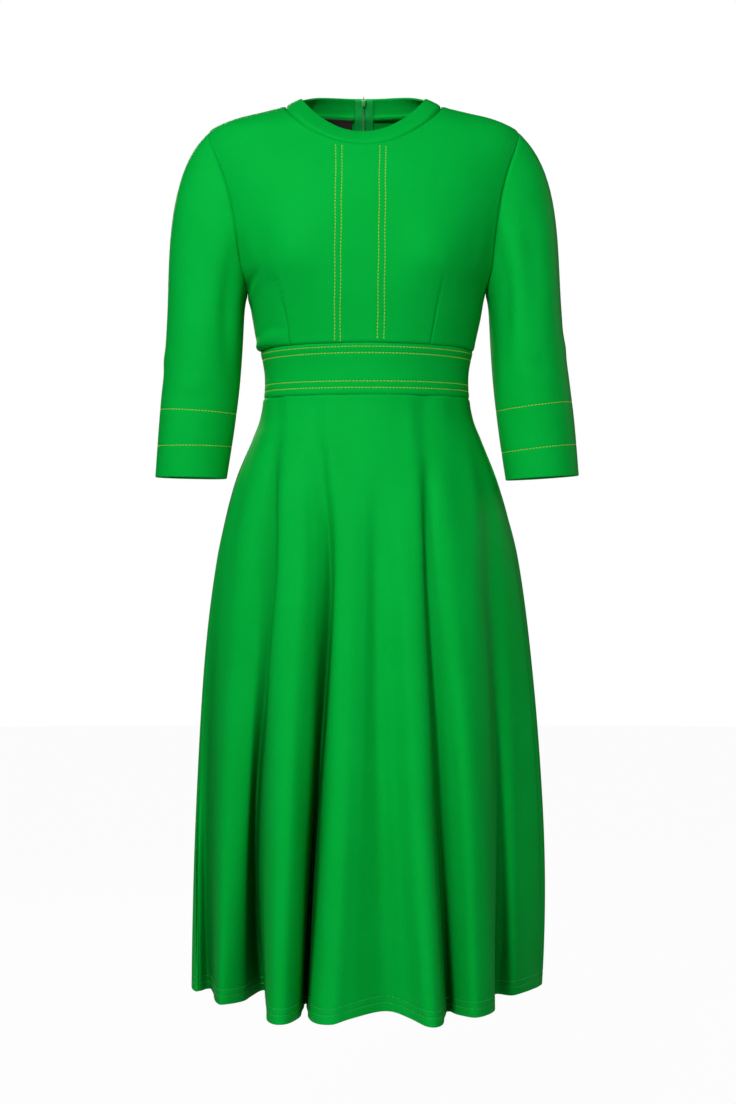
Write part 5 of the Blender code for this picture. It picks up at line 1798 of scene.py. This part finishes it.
def block(low, high):
    """A box between two corners, as the start of a piece."""
    clear_selection()
    bpy.ops.mesh.primitive_cube_add(size=1.0)
    item = bpy.context.object
    middle = (Vector(low) + Vector(high)) / 2
    size = Vector(high) - Vector(low)
    for vertex in item.data.vertices:
        vertex.co = Vector(vertex.co[k] * size[k] for k in range(3)) + middle
    return item


def leave_edit():
    bpy.ops.object.mode_set(mode="OBJECT")


def inset(thickness, depth, apart=False):
    bpy.ops.mesh.inset(thickness=thickness, depth=depth, use_individual=apart)


def pick_faces(item, wanted):
    """Selects the faces whose centre and normal answer a test, in edit mode."""
    bpy.ops.object.mode_set(mode="EDIT")
    bpy.ops.mesh.select_mode(type="FACE")
    bpy.ops.mesh.select_all(action="DESELECT")
    model = bmesh.from_edit_mesh(item.data)
    for face in model.faces:
        face.select_set(bool(wanted(face.calc_center_median(), face.normal)))
    bmesh.update_edit_mesh(item.data)


class DRESS_OT_slider(bpy.types.Operator):
    """Zip slider at the top of the neckband, and its pull tab hanging behind"""

    bl_idname = "dress.slider"
    bl_label = "Zip slider and pull tab"

    def execute(self, context):
        body = self.body()
        loop = self.loop()
        clear_selection()
        loop.select_set(True)
        body.select_set(True)
        bpy.context.view_layer.objects.active = body
        bpy.ops.object.join()
        body.data.transform(band_frame(0))
        settle(body, "slider_body", BODY, "zip_slider")
        tab = self.tab()
        tab.data.transform(band_frame(PIVOT_OUT))
        settle(tab, "pull_tab", PULL, "zip_pull_tab")
        return {"FINISHED"}

    def body(self):
        """The slider's plate: narrower at its foot, with a raised crown and a hollow behind."""
        half = SLIDER_TALL / 2
        item = block((-SLIDER_HALF, SLIDER_IN - SLIDER_THICK, -half), (SLIDER_HALF, SLIDER_IN, half))
        bpy.ops.object.mode_set(mode="EDIT")
        bpy.ops.mesh.select_all(action="SELECT")
        bpy.ops.mesh.subdivide(number_cuts=2)
        leave_edit()
        for vertex in item.data.vertices:
            foot = soft_step(0.5 - vertex.co.z / SLIDER_TALL)
            vertex.co.x *= 1 + (SLIDER_FOOT_HALF / SLIDER_HALF - 1) * float(foot)
        crown = SLIDER_IN - SLIDER_THICK
        pick_faces(item, lambda centre, normal: normal.y < -FACING and abs(centre.y - crown) < CLOSE)
        for step in CROWN_INSETS:
            inset(*step)
        pick_faces(item, lambda centre, normal: normal.z > FACING and abs(centre.x) > SLIDER_HALF / 3)
        inset(*MOUTH_INSET, apart=True)
        leave_edit()
        bevelled(item, *BODY_BEVEL)
        return item

    def loop(self):
        """The web through the zip's slit and the loop that holds the tab."""
        low = SLIDER_IN - SLIDER_THICK / 2
        item = block((-WEB_HALF, low, -WEB_TALL / 2), (WEB_HALF, WINDOW_LOW, WEB_TALL / 2))
        pick_faces(item, lambda centre, normal: normal.y > FACING)
        for length in (WINDOW_HIGH - WINDOW_LOW, WEB_OUT - WINDOW_HIGH):
            bpy.ops.mesh.extrude_region_move(TRANSFORM_OT_translate={"value": (0, length, 0)})
        middle = (WINDOW_LOW + WINDOW_HIGH) / 2

        def beside_window(centre, normal):
            return abs(normal.x) > FACING and abs(centre.y - middle) < NEAR

        pick_faces(item, beside_window)
        inset((WEB_TALL - WINDOW_TALL) / 2, 0, apart=True)
        leave_edit()
        for vertex in item.data.vertices:
            x, y, z = vertex.co
            if WINDOW_LOW + CLOSE < y < WINDOW_HIGH - CLOSE or abs(z) < WEB_TALL / 2 - CLOSE:
                y = WINDOW_LOW + WINDOW_DRAFT if y < middle else WINDOW_HIGH - WINDOW_DRAFT
                vertex.co = (x, y, math.copysign(WINDOW_TALL / 2, z))
        pick_faces(item, lambda centre, normal: beside_window(centre, normal) and abs(centre.z) < NEAR)
        bpy.ops.mesh.bridge_edge_loops()
        leave_edit()
        bevelled(item, *LOOP_BEVEL)
        return item

    def tab(self):
        """A flat tab with a slot for the loop and a sunk grip on both faces."""
        clear_selection()
        bpy.ops.mesh.primitive_grid_add(x_subdivisions=len(TAB_ACROSS) - 1,
                                        y_subdivisions=len(TAB_DOWN) - 1, size=1.0)
        item = bpy.context.object
        across = sorted({round(v.co.x, 5) for v in item.data.vertices})
        down = sorted({round(v.co.y, 5) for v in item.data.vertices})
        for vertex in item.data.vertices:
            x = TAB_ACROSS[across.index(round(vertex.co.x, 5))]
            z = TAB_DOWN[down.index(round(vertex.co.y, 5))]
            vertex.co = (x, 0, z)
        slot = (TAB_DOWN[3] + TAB_DOWN[4]) / 2
        pick_faces(item, lambda centre, normal: abs(centre.x) < NEAR and abs(centre.z - slot) < NEAR)
        bpy.ops.mesh.delete(type="FACE")
        leave_edit()
        solid = item.modifiers.new("thickness", "SOLIDIFY")
        solid.thickness = TAB_THICK
        solid.offset = 0
        bpy.ops.object.modifier_apply(modifier=solid.name)
        pick_faces(item, lambda centre, normal: abs(normal.y) > FACING and abs(centre.x) < NEAR
                   and TAB_DOWN[1] < centre.z < TAB_DOWN[2])
        inset(*GRIP_INSET)
        leave_edit()
        bevelled(item, *TAB_BEVEL)
        return item


class DRESS_OT_label(bpy.types.Operator):
    """Bare dark label inside the left back, under the neckband"""

    bl_idname = "dress.label"
    bl_label = "Label"

    def execute(self, context):
        tree = back_tree()
        low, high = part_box("neck_label")
        columns = np.linspace(low[0] + LABEL_MARGIN, high[0] - LABEL_MARGIN, LABEL_COLUMNS)
        levels = np.linspace(LABEL_BOTTOM, LABEL_TOP, LABEL_ROWS)
        grid = np.zeros((len(levels), len(columns), 3))
        for j, x in enumerate(columns):
            for i, z in enumerate(levels):
                spot = tree.ray_cast(Vector((x, 0.0, z)), Vector((0, 1, 0)), INSIDE_REACH)[0]
                grid[i, j] = np.array(spot)
        for _ in range(LABEL_SMOOTH):
            grid[1:-1, :, 1] = (grid[:-2, :, 1] + 2 * grid[1:-1, :, 1] + grid[2:, :, 1]) / 4
        normals = grid_normals(grid, False, np.array([0.0, -1.0, 0.0]))
        points = grid + normals * LABEL_CLEAR
        mesh = wall_mesh("label", points, normals, LABEL_THICK)
        piece = link("bare_label", mesh, label_material())
        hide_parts("neck_label")
        return {"FINISHED"}


class DRESS_OT_stage(bpy.types.Operator):
    """Pale floor, soft studio light and the camera"""

    bl_idname = "dress.stage"
    bl_label = "Studio"

    def execute(self, context):
        scene = context.scene
        scene.view_settings.view_transform = "Standard"
        self.floor()
        for lamp in LAMPS:
            self.lamp(lamp)
        self.world(scene)
        camera = bpy.data.cameras.new("camera")
        camera.lens = CAMERA_LENS
        camera.sensor_width = CAMERA_SENSOR
        item = bpy.data.objects.new("camera", camera)
        item.location = CAMERA_PLACE
        item.rotation_euler = (math.pi / 2, 0, 0)
        scene.collection.objects.link(item)
        scene.camera = item
        return {"FINISHED"}

    def floor(self):
        """A wide round floor."""
        clear_selection()
        bpy.ops.mesh.primitive_circle_add(vertices=FLOOR_CORNERS, radius=FLOOR_RADIUS, fill_type="NGON")
        floor = bpy.context.object
        for vertex in floor.data.vertices:
            vertex.co.z += sizes().floor
        floor.name = "studio_floor"
        floor.data.shade_smooth()
        floor.data.materials.append(floor_material())
        clear_selection()

    def lamp(self, lamp):
        light = bpy.data.lights.new(lamp.name, "AREA")
        light.shape = "DISK"
        light.size = lamp.size
        light.energy = lamp.power
        item = bpy.data.objects.new(lamp.name, light)
        item.location = (lamp.x, lamp.y, lamp.z)
        aim = Vector((0, 0, lamp.aim)) - Vector(item.location)
        item.rotation_euler = aim.to_track_quat("-Z", "Y").to_euler()
        bpy.context.scene.collection.objects.link(item)

    def world(self, scene):
        """White where the camera looks past the dress, and a weak even light on the dress itself."""
        world = bpy.data.worlds.new("studio")
        world.use_nodes = True
        tree = world.node_tree
        background = tree.nodes["Background"]
        background.inputs["Color"].default_value = (1, 1, 1, 1)
        seen = tree.nodes.new("ShaderNodeLightPath")
        strength = tree.nodes.new("ShaderNodeMapRange")
        strength.inputs["To Min"].default_value = WORLD_LIGHT
        strength.inputs["To Max"].default_value = 1.0
        tree.links.new(seen.outputs["Is Camera Ray"], strength.inputs["Value"])
        tree.links.new(strength.outputs["Result"], background.inputs["Strength"])
        scene.world = world


OPERATORS = (DRESS_OT_bodice, DRESS_OT_sleeves, DRESS_OT_neckband, DRESS_OT_waistband, DRESS_OT_skirt,
             DRESS_OT_topstitching, DRESS_OT_hem_stitching, DRESS_OT_zip, DRESS_OT_slider,
             DRESS_OT_label, DRESS_OT_stage)


class DRESS_PT_panel(bpy.types.Panel):
    """Sizes, colours and one button for each group of pieces"""

    bl_idname = "DRESS_PT_panel"
    bl_label = "Fit and Flare Dress"
    bl_space_type = "VIEW_3D"
    bl_region_type = "UI"
    bl_category = "Dress"

    def draw(self, context):
        for operator in OPERATORS:
            self.layout.operator(operator.bl_idname)
        for group in (context.scene.dress_sizes, context.scene.dress_colours):
            box = self.layout.box()
            for name in group.__annotations__:
                box.prop(group, name)


CLASSES = (DressSizes, DressColours, *OPERATORS, DRESS_PT_panel)


def register():
    for item in CLASSES:
        bpy.utils.register_class(item)
    bpy.types.Scene.dress_sizes = bpy.props.PointerProperty(type=DressSizes)
    bpy.types.Scene.dress_colours = bpy.props.PointerProperty(type=DressColours)


def unregister():
    del bpy.types.Scene.dress_colours
    del bpy.types.Scene.dress_sizes
    for item in reversed(CLASSES):
        bpy.utils.unregister_class(item)


def main():
    register()
    clear_selection()
    for operator in OPERATORS:
        group, name = operator.bl_idname.split(".")
        getattr(getattr(bpy.ops, group), name)()


if __name__ == "__main__":
    main()
